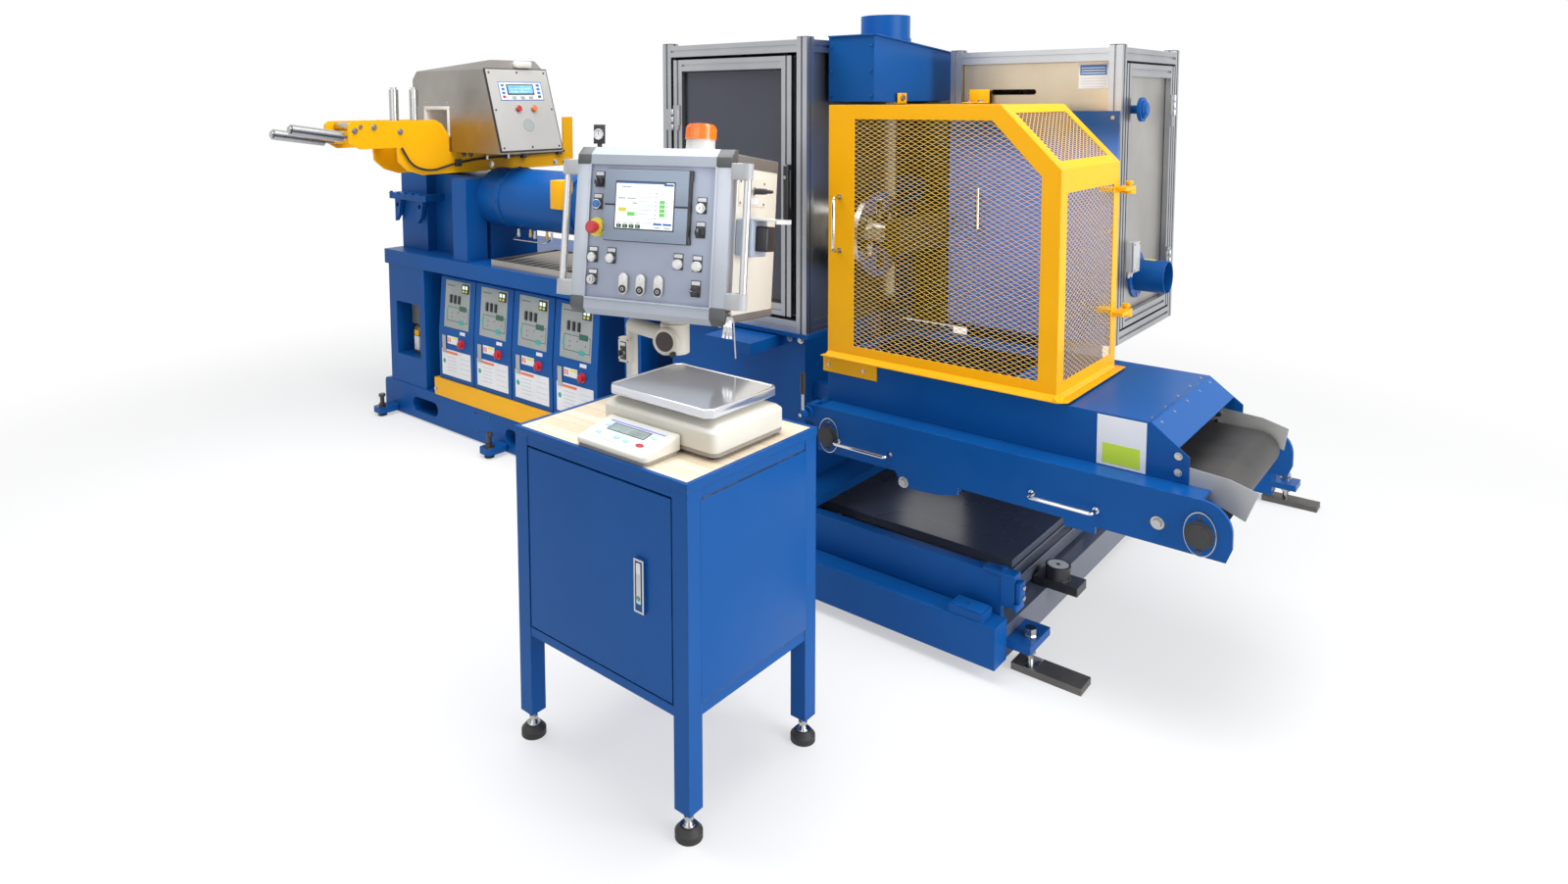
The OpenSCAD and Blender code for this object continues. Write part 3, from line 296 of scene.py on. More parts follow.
blue = enamel("blue_enamel", (0.003, 0.076, 0.290), (0.005, 0.088, 0.325), (0.05, 0.17, 0.42),
    gloss=0.14, worn=0.7)
yellow = enamel("yellow_enamel", (0.90, 0.42, 0.002), (0.94, 0.46, 0.003), (0.96, 0.62, 0.12),
    gloss=0.2, worn=0.5)
black = enamel("black_enamel", (0.014, 0.014, 0.017), (0.024, 0.024, 0.028), (0.16, 0.15, 0.14),
    rough=0.26, gloss=0.6)
cream = enamel("cream_powder_coat", (0.70, 0.665, 0.585), (0.73, 0.70, 0.62), (0.78, 0.76, 0.70),
    rough=0.42, worn=0.3)
olive = enamel("olive_enamel", (0.036, 0.038, 0.012), (0.050, 0.050, 0.016), (0.20, 0.18, 0.12))


def wear_material(material, *names):
    """Gives CAD pieces their finish."""
    for name in names:
        piece = nodes[name]
        piece.data.materials.clear()
        piece.data.materials.append(material)


wear_material(blue, "extruder_base", "grease_column", "temperature_units", "table_frame",
    "feed_housing", "drive_barrel", "cutter_body", "duct_tower", "door_fittings",
    "hood", "conveyor_frame", "lower_base", "weigh_cabinet", "cabinet_door")
# painted light: a light violet blue copy of the blue enamel for the brightly lit face panel inside
# the guard
painted_light_violet = enamel("painted_light_violet_enamel", (0.120, 0.270, 0.800), (0.150, 0.310, 0.860),
    (0.24, 0.38, 0.88), rough=0.20, gloss=0.5, worn=0.4)
# painted light: below the guard top the sheet is a light violet blue for the strong light on it
# behind the mesh; above the guard it is a plain darker blue
tree = painted_light_violet.node_tree
surface = tree.nodes["Principled BSDF"]
painted = surface.inputs["Base Color"].links[0].from_socket
coords = node(tree, "ShaderNodeTexCoord")
parts = node(tree, "ShaderNodeSeparateXYZ")
rise = node(tree, "ShaderNodeMapRange", interpolation_type="SMOOTHSTEP")
painted_light_top, plain_blue_foot = 1.50, 1.66
preset(rise, {"From Min": painted_light_top, "From Max": plain_blue_foot})
darker = node(tree, "ShaderNodeMix", data_type="RGBA")
darker.inputs[7].default_value = (0.005, 0.066, 0.215, 1)
link(tree,
    (coords.outputs["Object"], parts.inputs[0]), (parts.outputs["Z"], rise.inputs["Value"]),
    (rise.outputs[0], darker.inputs[0]), (painted, darker.inputs[6]),
    (darker.outputs[2], surface.inputs["Base Color"]))
wear_material(painted_light_violet, "right_face_panel")
wear_material(yellow, "kick_shelf", "feed_bracket", "guard_frame", "guard_fixings")
wear_material(black, "jacking_bolts", "grease_pump", "beam_stop")
# painted sheen: the tray's black enamel is lifted to a bluish grey that stands for the sky it
# reflects at a low angle
painted_sheen_tray_enamel = enamel("painted_sheen_tray_enamel", (0.070, 0.084, 0.125), (0.090, 0.106, 0.155),
    (0.14, 0.16, 0.20), rough=0.20, gloss=0.8, worn=0.4)
wear_material(painted_sheen_tray_enamel, "base_tray")
wear_material(cream, "pendant_pedestal", "pendant_box")
wear_material(olive, "cutter_drive")

# ---------------------------------------------------------------- bright metal
# Extruded aluminium for the enclosures, brushed stainless sheet, ground steel for
# rollers and spindles. Brushing runs along one axis of the piece.

brushing, given, out = new_group("brushing",
    [("Stretch", "Vector", (1.0, 40.0, 40.0)), ("Depth", "Float", 0.5)],
    [("Value", "Float"), ("Normal", "Vector")])
coords = node(brushing, "ShaderNodeTexCoord")
lay = node(brushing, "ShaderNodeVectorMath", operation="MULTIPLY")
streak = node(brushing, "ShaderNodeTexNoise", Scale=8.0, Detail=3.0, Roughness=0.7)
ridge = node(brushing, "ShaderNodeBump", Distance=0.0003)
link(brushing,
    (coords.outputs["Object"], lay.inputs[0]), (given.outputs["Stretch"], lay.inputs[1]),
    (lay.outputs[0], streak.inputs["Vector"]), (streak.outputs[0], ridge.inputs["Height"]),
    (given.outputs["Depth"], ridge.inputs["Strength"]), (streak.outputs[0], out.inputs["Value"]),
    (ridge.outputs[0], out.inputs["Normal"]))


def bright(name, colour, other, rough, stretch, depth=0.25, metallic=1.0, spread=0.14):
    made, tree, surface = shader(name)
    lines = place_group(tree, brushing, Stretch=stretch, Depth=depth)
    drift = place_group(tree, tone, Colour=(*colour, 1), Other=(*other, 1), Scale=2.6)
    link(tree,
        (drift.outputs["Colour"], surface.inputs["Base Color"]),
        (lines.outputs["Normal"], surface.inputs["Normal"]))
    surface.inputs["Metallic"].default_value = metallic
    roughen(tree, surface, lines.outputs["Value"], rough, rough + spread)
    return made


anodised = bright("anodised_profile", (0.36, 0.37, 0.39), (0.44, 0.45, 0.47), 0.27, (3, 3, 60))
stainless = bright("brushed_stainless", (0.30, 0.28, 0.255), (0.38, 0.36, 0.33), 0.26, (60, 60, 2),
    0.3)
sheet_steel = bright("plain_sheet", (0.36, 0.35, 0.33), (0.46, 0.45, 0.42), 0.28, (2, 60, 60), 0.2)
ground = bright("ground_steel", (0.44, 0.44, 0.44), (0.54, 0.54, 0.53), 0.16, (30, 30, 30), 0.12)
guide_sheet = bright("galvanised_guide", (0.40, 0.40, 0.395), (0.50, 0.50, 0.49), 0.40, (2, 60, 60),
    0.2, metallic=0.55)
polished = bright("polished_steel", (0.55, 0.55, 0.56), (0.62, 0.62, 0.62), 0.06, (2, 2, 2), 0.02,
    spread=0.05)
wear_material(anodised, "centre_frame", "centre_door_frame", "right_frame", "right_door_frame")
wear_material(sheet_steel, "centre_panels", "right_door_sheet")
warm_sheet = bright("warm_sheet", (0.40, 0.345, 0.260), (0.50, 0.435, 0.330), 0.28, (60, 60, 2),
    0.3)
wear_material(stainless, "metal_detector", "catch_tray")
wear_material(warm_sheet, "right_panels")
wear_material(guide_sheet, "belt_guides")
wear_material(ground, "feed_roller_left", "feed_roller_right", "cross_roller", "post_roller_front",
    "post_roller_rear", "roller_spindles", "jack_screws", "die_head", "cutter_head")
wear_material(polished, "scale_platter")

# ---------------------------------------------------------------- rubber and plastic
# Belt and feet of black rubber, moulded levers, cream mouldings of the bench scale.


def moulded(name, colour, other, rough, scale=900, height=0.0002, coat=0.0):
    made, tree, surface = shader(name)
    drift = place_group(tree, tone, Colour=(*colour, 1), Other=(*other, 1), Scale=6.0)
    wear = place_group(tree, corner, Radius=0.0015)
    link(tree, (drift.outputs["Colour"], surface.inputs["Base Color"]))
    roughen(tree, surface, drift.outputs["Value"], rough, rough + 0.08)
    skin(tree, surface, wear.outputs["Normal"], scale, height)
    surface.inputs["Coat Weight"].default_value = coat
    return made


rubber = moulded("black_rubber", (0.016, 0.016, 0.017), (0.028, 0.027, 0.026), 0.55)
belting = moulded("belt_rubber", (0.020, 0.020, 0.022), (0.040, 0.038, 0.036), 0.48, 400, 0.0004)
dark_plastic = moulded("dark_plastic", (0.020, 0.020, 0.022), (0.030, 0.030, 0.032), 0.34)
grey_plastic = moulded("corner_grey", (0.075, 0.078, 0.082), (0.090, 0.093, 0.098), 0.40)
cream_plastic = moulded("cream_moulding", (0.72, 0.695, 0.605), (0.75, 0.725, 0.645), 0.30,
    coat=0.15)
wear_material(rubber, "levelling_feet")
wear_material(belting, "conveyor_belt")
wear_material(dark_plastic, "clamp_lever")
wear_material(cream_plastic, "scale_body", "scale_indicator")

# ---------------------------------------------------------------- smoked door pane
# Tinted acrylic in the centre door: dark, glossy, and half clear.
smoked, tree, surface = shader("smoked_acrylic")
drift = place_group(tree, tone, Colour=(0.085, 0.092, 0.130, 1), Other=(0.11, 0.12, 0.165, 1),
    Scale=2.0)
link(tree, (drift.outputs["Colour"], surface.inputs["Base Color"]))
preset(surface, {"Roughness": 0.03, "Transmission Weight": 0.55, "IOR": 1.49})
wear_material(smoked, "centre_door_pane")

# ---------------------------------------------------------------- butcher's block top
# Finger-jointed beech strips glued side by side, sanded and oiled, let into the
# sheet metal rim of the weigh cabinet.
beech, tree, surface = shader("jointed_beech")
coords = node(tree, "ShaderNodeTexCoord")
strips = node(tree, "ShaderNodeTexBrick", Scale=1.0)
preset(strips, {"Brick Width": 0.26, "Row Height": 0.042, "Mortar Size": 0.0006})
preset(strips, {"Color1": (0.76, 0.64, 0.47, 1), "Color2": (0.84, 0.76, 0.62, 1),
    "Mortar": (0.50, 0.36, 0.22, 1)})
lay = node(tree, "ShaderNodeMapping")
lay.inputs["Scale"].default_value = (6, 130, 6)
grain = node(tree, "ShaderNodeTexNoise", Scale=1.0, Detail=6.0, Roughness=0.65)
soak = node(tree, "ShaderNodeMix", data_type="RGBA", blend_type="MULTIPLY")
soak.inputs[0].default_value = 0.32
shades = node(tree, "ShaderNodeValToRGB")
shades.color_ramp.elements[0].position = 0.30
shades.color_ramp.elements[0].color = (0.66, 0.46, 0.28, 1)
shades.color_ramp.elements[1].position = 0.62
shades.color_ramp.elements[1].color = (1, 1, 1, 1)
link(tree,
    (coords.outputs["Object"], strips.inputs["Vector"]),
    (coords.outputs["Object"], lay.inputs["Vector"]), (lay.outputs[0], grain.inputs["Vector"]),
    (grain.outputs[0], shades.inputs[0]), (strips.outputs["Color"], soak.inputs[6]),
    (shades.outputs[0], soak.inputs[7]), (soak.outputs[2], surface.inputs["Base Color"]))
roughen(tree, surface, grain.outputs[0], 0.38, 0.55)
pores = node(tree, "ShaderNodeBump", Strength=0.2, Distance=0.0004)
link(tree,
    (grain.outputs[0], pores.inputs["Height"]), (pores.outputs[0], surface.inputs["Normal"]))
wear_material(beech, "cabinet_top")

# ---------------------------------------------------------------- guard mesh
# Expanded metal behind the windows of the guard: strands of sheet steel that zigzag
# and meet at knuckles, cut to the window, welded in and sprayed with the frame.


def clear():
    bpy.ops.object.select_all(action="DESELECT")


def take(piece):
    clear()
    piece.select_set(True)
    bpy.context.view_layer.objects.active = piece


def choose(piece, kind, test):
    """Opens a piece in edit mode with the faces or edges that pass a test selected."""
    take(piece)
    bpy.ops.object.mode_set(mode="EDIT")
    bpy.ops.mesh.select_mode(type=kind)
    mesh = bmesh.from_edit_mesh(piece.data)
    for part in (mesh.faces if kind == "FACE" else mesh.edges):
        part.select_set(bool(test(part)))
    mesh.select_flush_mode()
    bmesh.update_edit_mesh(piece.data)


def done():
    bpy.ops.object.mode_set(mode="OBJECT")


def extrude(x, y, z):
    bpy.ops.mesh.extrude_region_move(TRANSFORM_OT_translate={"value": (x, y, z)})


def slide(piece, kind, test, x=0.0, y=0.0, z=0.0):
    """Moves the faces or edges that pass a test."""
    choose(piece, kind, test)
    bpy.ops.transform.translate(value=(x, y, z))
    done()


def sink(piece, test, margin, x=0.0, y=0.0, z=0.0):
    """Draws a margin in from a face and pushes what is left in or out."""
    choose(piece, "FACE", test)
    bpy.ops.mesh.inset(thickness=margin)
    extrude(x, y, z)
    done()


def scale_all(piece, x, y):
    choose(piece, "FACE", lambda face: True)
    bpy.ops.transform.resize(value=(x, y, 1))
    done()


def bevel(piece, size, test, segments=1):
    """Cuts back or rounds the edges that pass a test."""
    choose(piece, "EDGE", test)
    bpy.ops.mesh.bevel(offset=size, segments=segments)
    done()
    return piece


def at(edge, axis, value, slack=0.0008):
    return all(abs(vertex.co[axis] - value) < slack for vertex in edge.verts)


def rises(edge, least=0.001):
    return abs(edge.verts[0].co.z - edge.verts[1].co.z) > least


def joined(parts):
    """Makes one object of several parts."""
    take(parts[0])
    for part in parts:
        part.select_set(True)
    if len(parts) > 1:
        bpy.ops.object.join()
    return bpy.context.object


def apply_modifier(piece, kind, **values):
    take(piece)
    added = piece.modifiers.new(kind.lower(), kind)
    for key, value in values.items():
        setattr(added, key, value)
    bpy.ops.object.modifier_apply(modifier=added.name)


def ease(piece, width, segments=2):
    """Rounds the sharp edges of a piece."""
    apply_modifier(piece, "BEVEL", width=width, segments=segments, limit_method="ANGLE",
        angle_limit=math.radians(35), harden_normals=False)


def block(low, high, material, soft=0.0015, segments=2):
    """A block between two corners with its edges eased."""
    low, high = Vector(low), Vector(high)
    clear()
    bpy.ops.mesh.primitive_cube_add(size=1, location=(low + high) / 2, scale=high - low)
    made = bpy.context.object
    bpy.ops.object.transform_apply(location=True, rotation=True, scale=True)
    if soft:
        ease(made, soft, segments)
    made.data.materials.append(material)
    return made


def copy(piece, place):
    """A copy with a mesh of its own, put in its place."""
    made = bpy.data.objects.new(piece.name, piece.data.copy())
    bpy.context.scene.collection.objects.link(made)
    made.data.transform(place)
    if place.determinant() < 0:
        made.data.flip_normals()
    return made


def shift(x=0.0, y=0.0, z=0.0):
    return Matrix.Translation((x, y, z))


def move(parts, place):
    """Puts parts in a place by their meshes."""
    for part in parts:
        part.data.transform(place)
    return parts


def seat(origin, out, up):
    """Stands a piece drawn with x across, y up and z outwards on a face of the object."""
    out, up = Vector(out).normalized(), Vector(up).normalized()
    across = up.cross(out)
    facing = Matrix((across, out.cross(across), out)).transposed()
    return Matrix.Translation(origin) @ facing.to_4x4()


def to_front(x, y, z):
    """A seat on an upright face that looks to the front; the next three look other ways."""
    return seat((x, y, z), (0, -1, 0), (0, 0, 1))


def to_right(x, y, z):
    return seat((x, y, z), (1, 0, 0), (0, 0, 1))


def to_rear(x, y, z):
    return seat((x, y, z), (0, 1, 0), (0, 0, 1))


def to_left(x, y, z):
    return seat((x, y, z), (-1, 0, 0), (0, 0, 1))


def about(axis, degrees):
    return Matrix.Rotation(math.radians(degrees), 4, axis)


def assemble(name, body, parts, place=None, angle=40):
    """Joins the parts of a piece, puts it in its place and hangs it on its body."""
    made = joined(parts)
    made.name = name
    made.data.name = name
    if place is not None:
        made.data.transform(place)
    bpy.ops.object.shade_smooth_by_angle(angle=math.radians(angle))
    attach(made, body)
    return made


long_way, short_way = 0.0300, 0.0155
strand, gauge = 0.0018, 0.0012
# painted light: the strands wear a lighter copy of the frame's yellow for the light that falls on
# and through them
painted_light_mesh_yellow = enamel("painted_light_mesh_yellow", (1.00, 0.58, 0.055), (1.00, 0.64, 0.080), (0.80, 0.70, 0.45),
    rough=0.26, gloss=0.5, worn=0.5)


def expanded(width, height, cuts):
    """A sheet of expanded metal from the origin, trimmed by (point, direction) cuts."""
    rise = short_way / 2 - strand * 0.8
    leg = block((0, -strand / 2, 0), (long_way / 2, strand / 2, gauge), painted_light_mesh_yellow, soft=0)
    slide(leg, "FACE", lambda face: face.normal.x > 0.9, y=rise)
    choose(leg, "FACE", lambda face: abs(face.normal.x) > 0.9)
    bpy.ops.mesh.delete(type="ONLY_FACE")
    done()
    turned_over = shift(x=long_way) @ Matrix.Diagonal((-1, 1, 1, 1))
    legs = [leg, copy(leg, turned_over)]
    above = shift(y=short_way / 2 + rise) @ Matrix.Diagonal((1, -1, 1, 1))
    legs += [copy(part, above) for part in legs]
    leg = joined(move(legs, shift(x=-long_way, y=-short_way)))
    for offset, count in (((long_way, 0, 0), math.ceil(width / long_way) + 2),
            ((0, short_way, 0), math.ceil(height / short_way) + 2)):
        apply_modifier(leg, "ARRAY", count=count, use_relative_offset=False,
            use_constant_offset=True, constant_offset_displace=offset, use_merge_vertices=True,
            merge_threshold=0.0001)
    edges = [((0, 0, 0), (-1, 0, 0)), ((0, 0, 0), (0, -1, 0)), ((width, 0, 0), (1, 0, 0)),
        ((0, height, 0), (0, 1, 0))]
    for point, direction in edges + cuts:
        choose(leg, "FACE", lambda face: True)
        bpy.ops.mesh.bisect(plane_co=point, plane_no=direction, use_fill=True, clear_outer=True)
        done()
    return leg


guard_low, guard_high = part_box("guard_frame")
lap, plate = 0.012, 0.003       # lap of the mesh behind its window, sheet of the guard
slope = 0.190                   # the guard's upper corner is cut off by this much at 45 degrees
stile, rim, right_rim = 0.104, 0.048, 0.058
face_x = guard_low.x + 0.014    # left end and front plane of the front sheet, without its flange
face_y = guard_low.y + 0.026
right_x = face_x + 0.811
side_d = 0.497
front_w = right_x - face_x - stile - right_rim + 2 * lap
front_h = guard_high.z - guard_low.z - 2 * rim + 2 * lap
diagonal = Vector((1, 1, 0)).normalized()
front_mesh = expanded(front_w, front_h,
    [((front_w, front_h - slope + right_rim + lap, 0), diagonal)])
front_mesh.data.transform(to_front(face_x + stile - lap, face_y + plate + gauge,
    guard_low.z + rim - lap))
side_w = side_d - 2 * rim + 2 * lap
side_mesh = expanded(side_w, guard_high.z - guard_low.z - slope - rim - 0.070 + 2 * lap, [])
side_mesh.data.transform(to_right(right_x - plate - gauge, face_y + plate + rim - lap,
    guard_low.z + rim - lap))
sloping_mesh = expanded(side_w, slope * math.sqrt(2) - 0.048, [])
sloping_mesh.data.transform(seat((right_x, face_y + plate + rim - lap, guard_high.z - slope),
    (1, 0, 1), (-1, 0, 1)) @ shift(0, 0.024, -plate - gauge))
guard_screen = assemble("guard_screen", "guard",
    [front_mesh, side_mesh, sloping_mesh])
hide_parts("guard_mesh")

# ---------------------------------------------------------------- guard fittings
# A bright steel pull handle screwed to the left border of the guard, socket screws
# in the hinge lugs, a drooping lip along the foot, and the fixed plate's screws.


def bent_rod(points, radius, bend, material, sides=12):
    """A round rod along straight runs with its corners bent to a radius."""
    points = [Vector(p) for p in points]
    route = [points[0]]
    for before, here, after in zip(points, points[1:], points[2:]):
        start = here + (before - here).normalized() * bend
        end = here + (after - here).normalized() * bend
        for step in range(7):
            t = step / 6
            route.append(start * (1 - t) ** 2 + here * 2 * t * (1 - t) + end * t ** 2)
    route.append(points[-1])
    line = bpy.data.curves.new("rod", "CURVE")
    line.dimensions = "3D"
    line.bevel_depth = radius
    line.bevel_resolution = max(1, sides // 4 - 1)
    line.use_fill_caps = True
    spline = line.splines.new("POLY")
    spline.points.add(len(route) - 1)
    for knot, place in zip(spline.points, route):
        knot.co = (*place, 1)
    made = bpy.data.objects.new("rod", line)
    bpy.context.scene.collection.objects.link(made)
    take(made)
    bpy.ops.object.convert(target="MESH")
    made = bpy.context.object
    made.data.materials.append(material)
    return made


def turned(radius, steps, material, sides=32, soft=0.0):
    """A turned piece standing on z = 0: each step draws the rim in and raises the face."""
    first_up = steps[0][1]
    clear()
    bpy.ops.mesh.primitive_cylinder_add(vertices=sides, radius=radius, depth=first_up,
        location=(0, 0, first_up / 2))
    made = bpy.context.object
    bpy.ops.object.transform_apply(location=True, rotation=True, scale=True)
    top = first_up
    for draw, rise in steps[1:]:
        choose(made, "FACE", lambda face: face.normal.z > 0.99
            and face.calc_center_median().z > top - 1e-5)
        if draw:
            bpy.ops.mesh.inset(thickness=draw)
        if rise:
            extrude(0, 0, rise)
        done()
        top += rise
    if soft:
        ease(made, soft)
    made.data.materials.append(material)
    return made


def bolt(width, material, washer=True):
    """A hexagon head on a washer, standing on z = 0, for a thread of half its width."""
    head = turned(width * 0.577, [(0, width * 0.42), (width * 0.04, 0), (0, width * 0.03)],
        material, 6)
    if not washer:
        return head
    ring = turned(width * 0.82, [(0, 0.0016), (0.0006, 0.0004)], material, 24)
    head.data.transform(shift(z=0.0018))
    return joined([head, ring])


def socket_screw(width, material):
    """A cap screw: round head with a six-sided socket sunk in it."""
    head = turned(width / 2, [(0, width * 0.55), (width * 0.06, width * 0.03)], material, 24)
    sink(head, lambda face: face.normal.z > 0.99 and len(face.verts) > 8, width * 0.14,
        z=-width * 0.3)
    return head


def rivet(width, material):
    """A domed button head."""
    return turned(width / 2, [(0, width * 0.10), (width * 0.07, width * 0.11),
        (width * 0.12, width * 0.07)], material, 16)


def repeat(model, places):
    """One copy of a model for each place; the model itself is used up."""
    made = [copy(model, place) for place in places]
    bpy.data.objects.remove(model)
    return made


def grid(across, up, z=0.0, on=Matrix()):
    """Places where each distance across meets each distance up, on a seat."""
    return [on @ shift(x, y, z) for x in across for y in up]


def spots(points, z=0.0, on=Matrix()):
    return [on @ shift(x, y, z) for x, y in points]


def set_down(place, *models):
    return [repeat(model, [place])[0] for model in models]


def pull_handle(length, reach, radius, material):
    """A D handle with collars, its feet on z = 0, running up from the origin."""
    rod = bent_rod([(0, 0, -0.002), (0, 0, reach), (0, length, reach), (0, length, -0.002)], radius,
        radius * 2.6, material)
    collar = turned(radius * 1.7, [(0, 0.003), (radius * 0.3, 0.0015)], material, 24)
    return [rod] + repeat(collar, [shift(), shift(y=length)])


front_face = to_front(face_x, face_y, guard_low.z)
handle = move(pull_handle(0.185, 0.040, 0.0055, polished), front_face @ shift(0.046, 0.374))
hinge_x, hinge_y = joints["guard_swing"]["pos_m"][:2]
pins = repeat(socket_screw(0.016, ground), [shift(hinge_x, hinge_y, guard_low.z + z + 0.012)
    for z in (0.176, 0.590)])
assemble("guard_handle", "guard", handle + pins)

skirts = []
skirt_foot, skirt_top = guard_low.z + 0.0028, guard_low.z + 0.0170
for low, high, edge_at in (
        ((face_x + 0.001, guard_low.y + 0.001, skirt_foot),
            (right_x + 0.024, face_y + 0.0005, skirt_top), (1, guard_low.y + 0.001)),
        ((right_x - 0.0005, face_y - 0.024, skirt_foot),
            (guard_high.x - 0.023, face_y + 0.470, skirt_top), (0, guard_high.x - 0.023))):
    lip = block(low, high, yellow, 0)
    slide(lip, "EDGE", lambda e: at(e, *edge_at, 0.001) and at(e, 2, skirt_top), z=-0.0138)
    skirts.append(lip)
assemble("guard_skirt", "guard", skirts)

fixing_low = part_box("guard_fixings")[0]
fixing = to_front(face_x, fixing_low.y, guard_low.z)
screws = repeat(rivet(0.014, ground), [fixing @ shift(x, -0.030) for x in (0.010, 0.150)])
assemble("fixing_screws", "machine", screws)

# ---------------------------------------------------------------- temperature units
# Four upright circulating heaters under the table. Each has a slanted grey control
# panel with a small display, three rockers and a flow drawing, and below it a latch,
# a main switch and vinyl labels on the blue door.


def tile(x0, y0, x1, y1, rise, material, base=0.0, soft=0.0004):
    """A thin plate lying on a face between two corners."""
    return block((x0, y0, base), (x1, y1, base + rise), material, soft, 1)


def tiles(*rows):
    return [tile(*row) for row in rows]


def border(x0, y0, x1, y1, width, *rest):
    """Four strips that frame a field."""
    return tiles((x0, y1 - width, x1, y1, *rest), (x0, y0, x1, y0 + width, *rest),
        (x0, y0, x0 + width, y1, *rest), (x1 - width, y0, x1, y1, *rest))


unit_grey = moulded("unit_panel_grey", (0.300, 0.330, 0.320), (0.340, 0.365, 0.355), 0.45)
label_white = moulded("label_vinyl", (0.74, 0.75, 0.77), (0.80, 0.80, 0.81), 0.38, 500, 0.0001)
red_plastic = moulded("red_plastic", (0.50, 0.012, 0.022), (0.56, 0.020, 0.030), 0.28, coat=0.2)
orange_print = moulded("orange_print", (0.78, 0.16, 0.045), (0.82, 0.20, 0.06), 0.40)
teal_print = moulded("teal_print", (0.02, 0.34, 0.30), (0.03, 0.40, 0.35), 0.40)
green_print = moulded("green_print", (0.010, 0.085, 0.055), (0.016, 0.10, 0.07), 0.40)
yellow_print = moulded("yellow_print", (0.80, 0.72, 0.06), (0.84, 0.76, 0.10), 0.40)
blue_plastic = moulded("blue_plastic", (0.010, 0.12, 0.42), (0.014, 0.15, 0.48), 0.28, coat=0.2)


def glowing(name, colour, other, scale, strength, rough=0.5, coat=0.0):
    """A lit face: its colour drifts a little and gives off some light."""
    made, tree, surface = shader(name)
    drift = place_group(tree, tone, Colour=(*colour, 1), Other=(*other, 1), Scale=scale)
    link(tree, (drift.outputs["Colour"], surface.inputs["Base Color"]),
        (drift.outputs["Colour"], surface.inputs["Emission Color"]))
    preset(surface, {"Emission Strength": strength, "Roughness": rough, "Coat Weight": coat})
    return made


lit = glowing("lit_digits", (0.60, 0.80, 0.62), (0.80, 0.92, 0.80), 90, 0.5)

units_low, units_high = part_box("temperature_units")
unit_w, unit_pitch = 0.305, 0.313
face_foot, face_top, face_set = 0.520, 0.821, 0.026
face_up = Vector((0, face_set, face_top - face_foot)).normalized()
face_out = Vector((0, -face_up.z, face_up.y))
for i in range(4):
    left = units_low.x + i * unit_pitch
    panel = [tile(0.045, 0.042, 0.262, 0.290, 0.0015, unit_grey)]
    panel.append(tile(0.197, 0.234, 0.253, 0.280, 0.006, dark_plastic, 0.0015))
    for x in (0.204, 0.228):
        panel += tiles(
            (x, 0.256, x + 0.018, 0.274, 0.0004, lit, 0.0075, 0.0002),
            (x, 0.240, x + 0.014, 0.250, 0.0004, yellow_print, 0.0075, 0.0002))
    for x in (0.092, 0.128, 0.164):
        panel.append(tile(x, 0.172, x + 0.018, 0.216, 0.003, dark_plastic, 0.0015))
        rocker = tile(x + 0.003, 0.176, x + 0.015, 0.212, 0.006, black, 0.0045, 0.001)
        slide(rocker, "FACE", lambda face: face.normal.z > 0.9, y=0.004)
        panel.append(rocker)
    # flow drawing: a ring line with a green tank, a teal pump and four lamps
    panel += border(0.070, 0.078, 0.253, 0.153, 0.003, 0.0004, green_print, 0.0015, 0.0001)
    panel += tiles(
        (0.176, 0.138, 0.236, 0.164, 0.0012, green_print, 0.0015),
        (0.180, 0.068, 0.216, 0.090, 0.0008, teal_print, 0.0015),
        (0.062, 0.100, 0.074, 0.134, 0.0006, teal_print, 0.0017))
    lamp = turned(0.0035, [(0, 0.0012), (0.001, 0.0005)], red_plastic, 12)
    panel += repeat(lamp, spots(((0.112, 0.122), (0.112, 0.100), (0.164, 0.128), (0.222, 0.112)),
        0.0015))
    panel += tiles(
        (0.060, 0.262, 0.128, 0.266, 0.0003, green_print, 0.0015, 0.0001),
        (0.187, 0.014, 0.233, 0.031, 0.0006, label_white))
    assemble(f"unit_panel_{i + 1}", "machine", panel,
        seat((left, units_low.y, face_foot), face_out, face_up))

    latch = block((0.034, -0.098, 0), (0.066, -0.004, 0.005), anodised, 0.0024)
    bevel(latch, 0.010, rises, 4)
    eye_hole = turned(0.0055, [(0, 0.0012), (0.0016, -0.0010)], ground, 16)
    door = [latch] + set_down(shift(0.050, -0.076, 0.005), eye_hole)
    door += tiles(
        (0.077, -0.045, 0.172, -0.003, 0.0006, label_white),
        (0.118, -0.018, 0.168, -0.007, 0.0003, yellow_print, 0.0006, 0.0001))
    for x in (0.082, 0.098):
        door.append(tile(x, -0.036, x + 0.010, -0.012, 0.0003, orange_print, 0.0006, 0.0001))
    knob = turned(0.0235, [(0, 0.006), (0.004, 0.003), (0.004, 0.014), (0.003, 0.001)], red_plastic,
        32)
    door += set_down(shift(0.209, -0.032, 0), knob)
    door.append(block((0.206, -0.052, 0.023), (0.212, -0.012, 0.027), red_plastic, 0.001))
    door += tiles(
        (0.024, -0.218, 0.280, -0.078, 0.0006, label_white),
        (0.068, -0.099, 0.167, -0.086, 0.0003, orange_print, 0.0006, 0.0001))
    spot = turned(0.0125, [(0, 0.0004), (0.002, 0.0001)], teal_print, 24)
    door += set_down(shift(0.046, -0.143, 0.0006), spot)
    # blank ruled fields of the label
    for row in range(5):
        y = -0.118 - row * 0.018
        door.append(tile(0.072, y, 0.150, y + 0.0016, 0.0002, unit_grey, 0.0006, 0.0001))
    for row in range(4):
        y = -0.112 - row * 0.026
        door.append(tile(0.188, y, 0.268, y + 0.0012, 0.0002, unit_grey, 0.0006, 0.0001))
    assemble(f"unit_door_fittings_{i + 1}", "machine", door,
        to_front(left, units_low.y, face_foot))

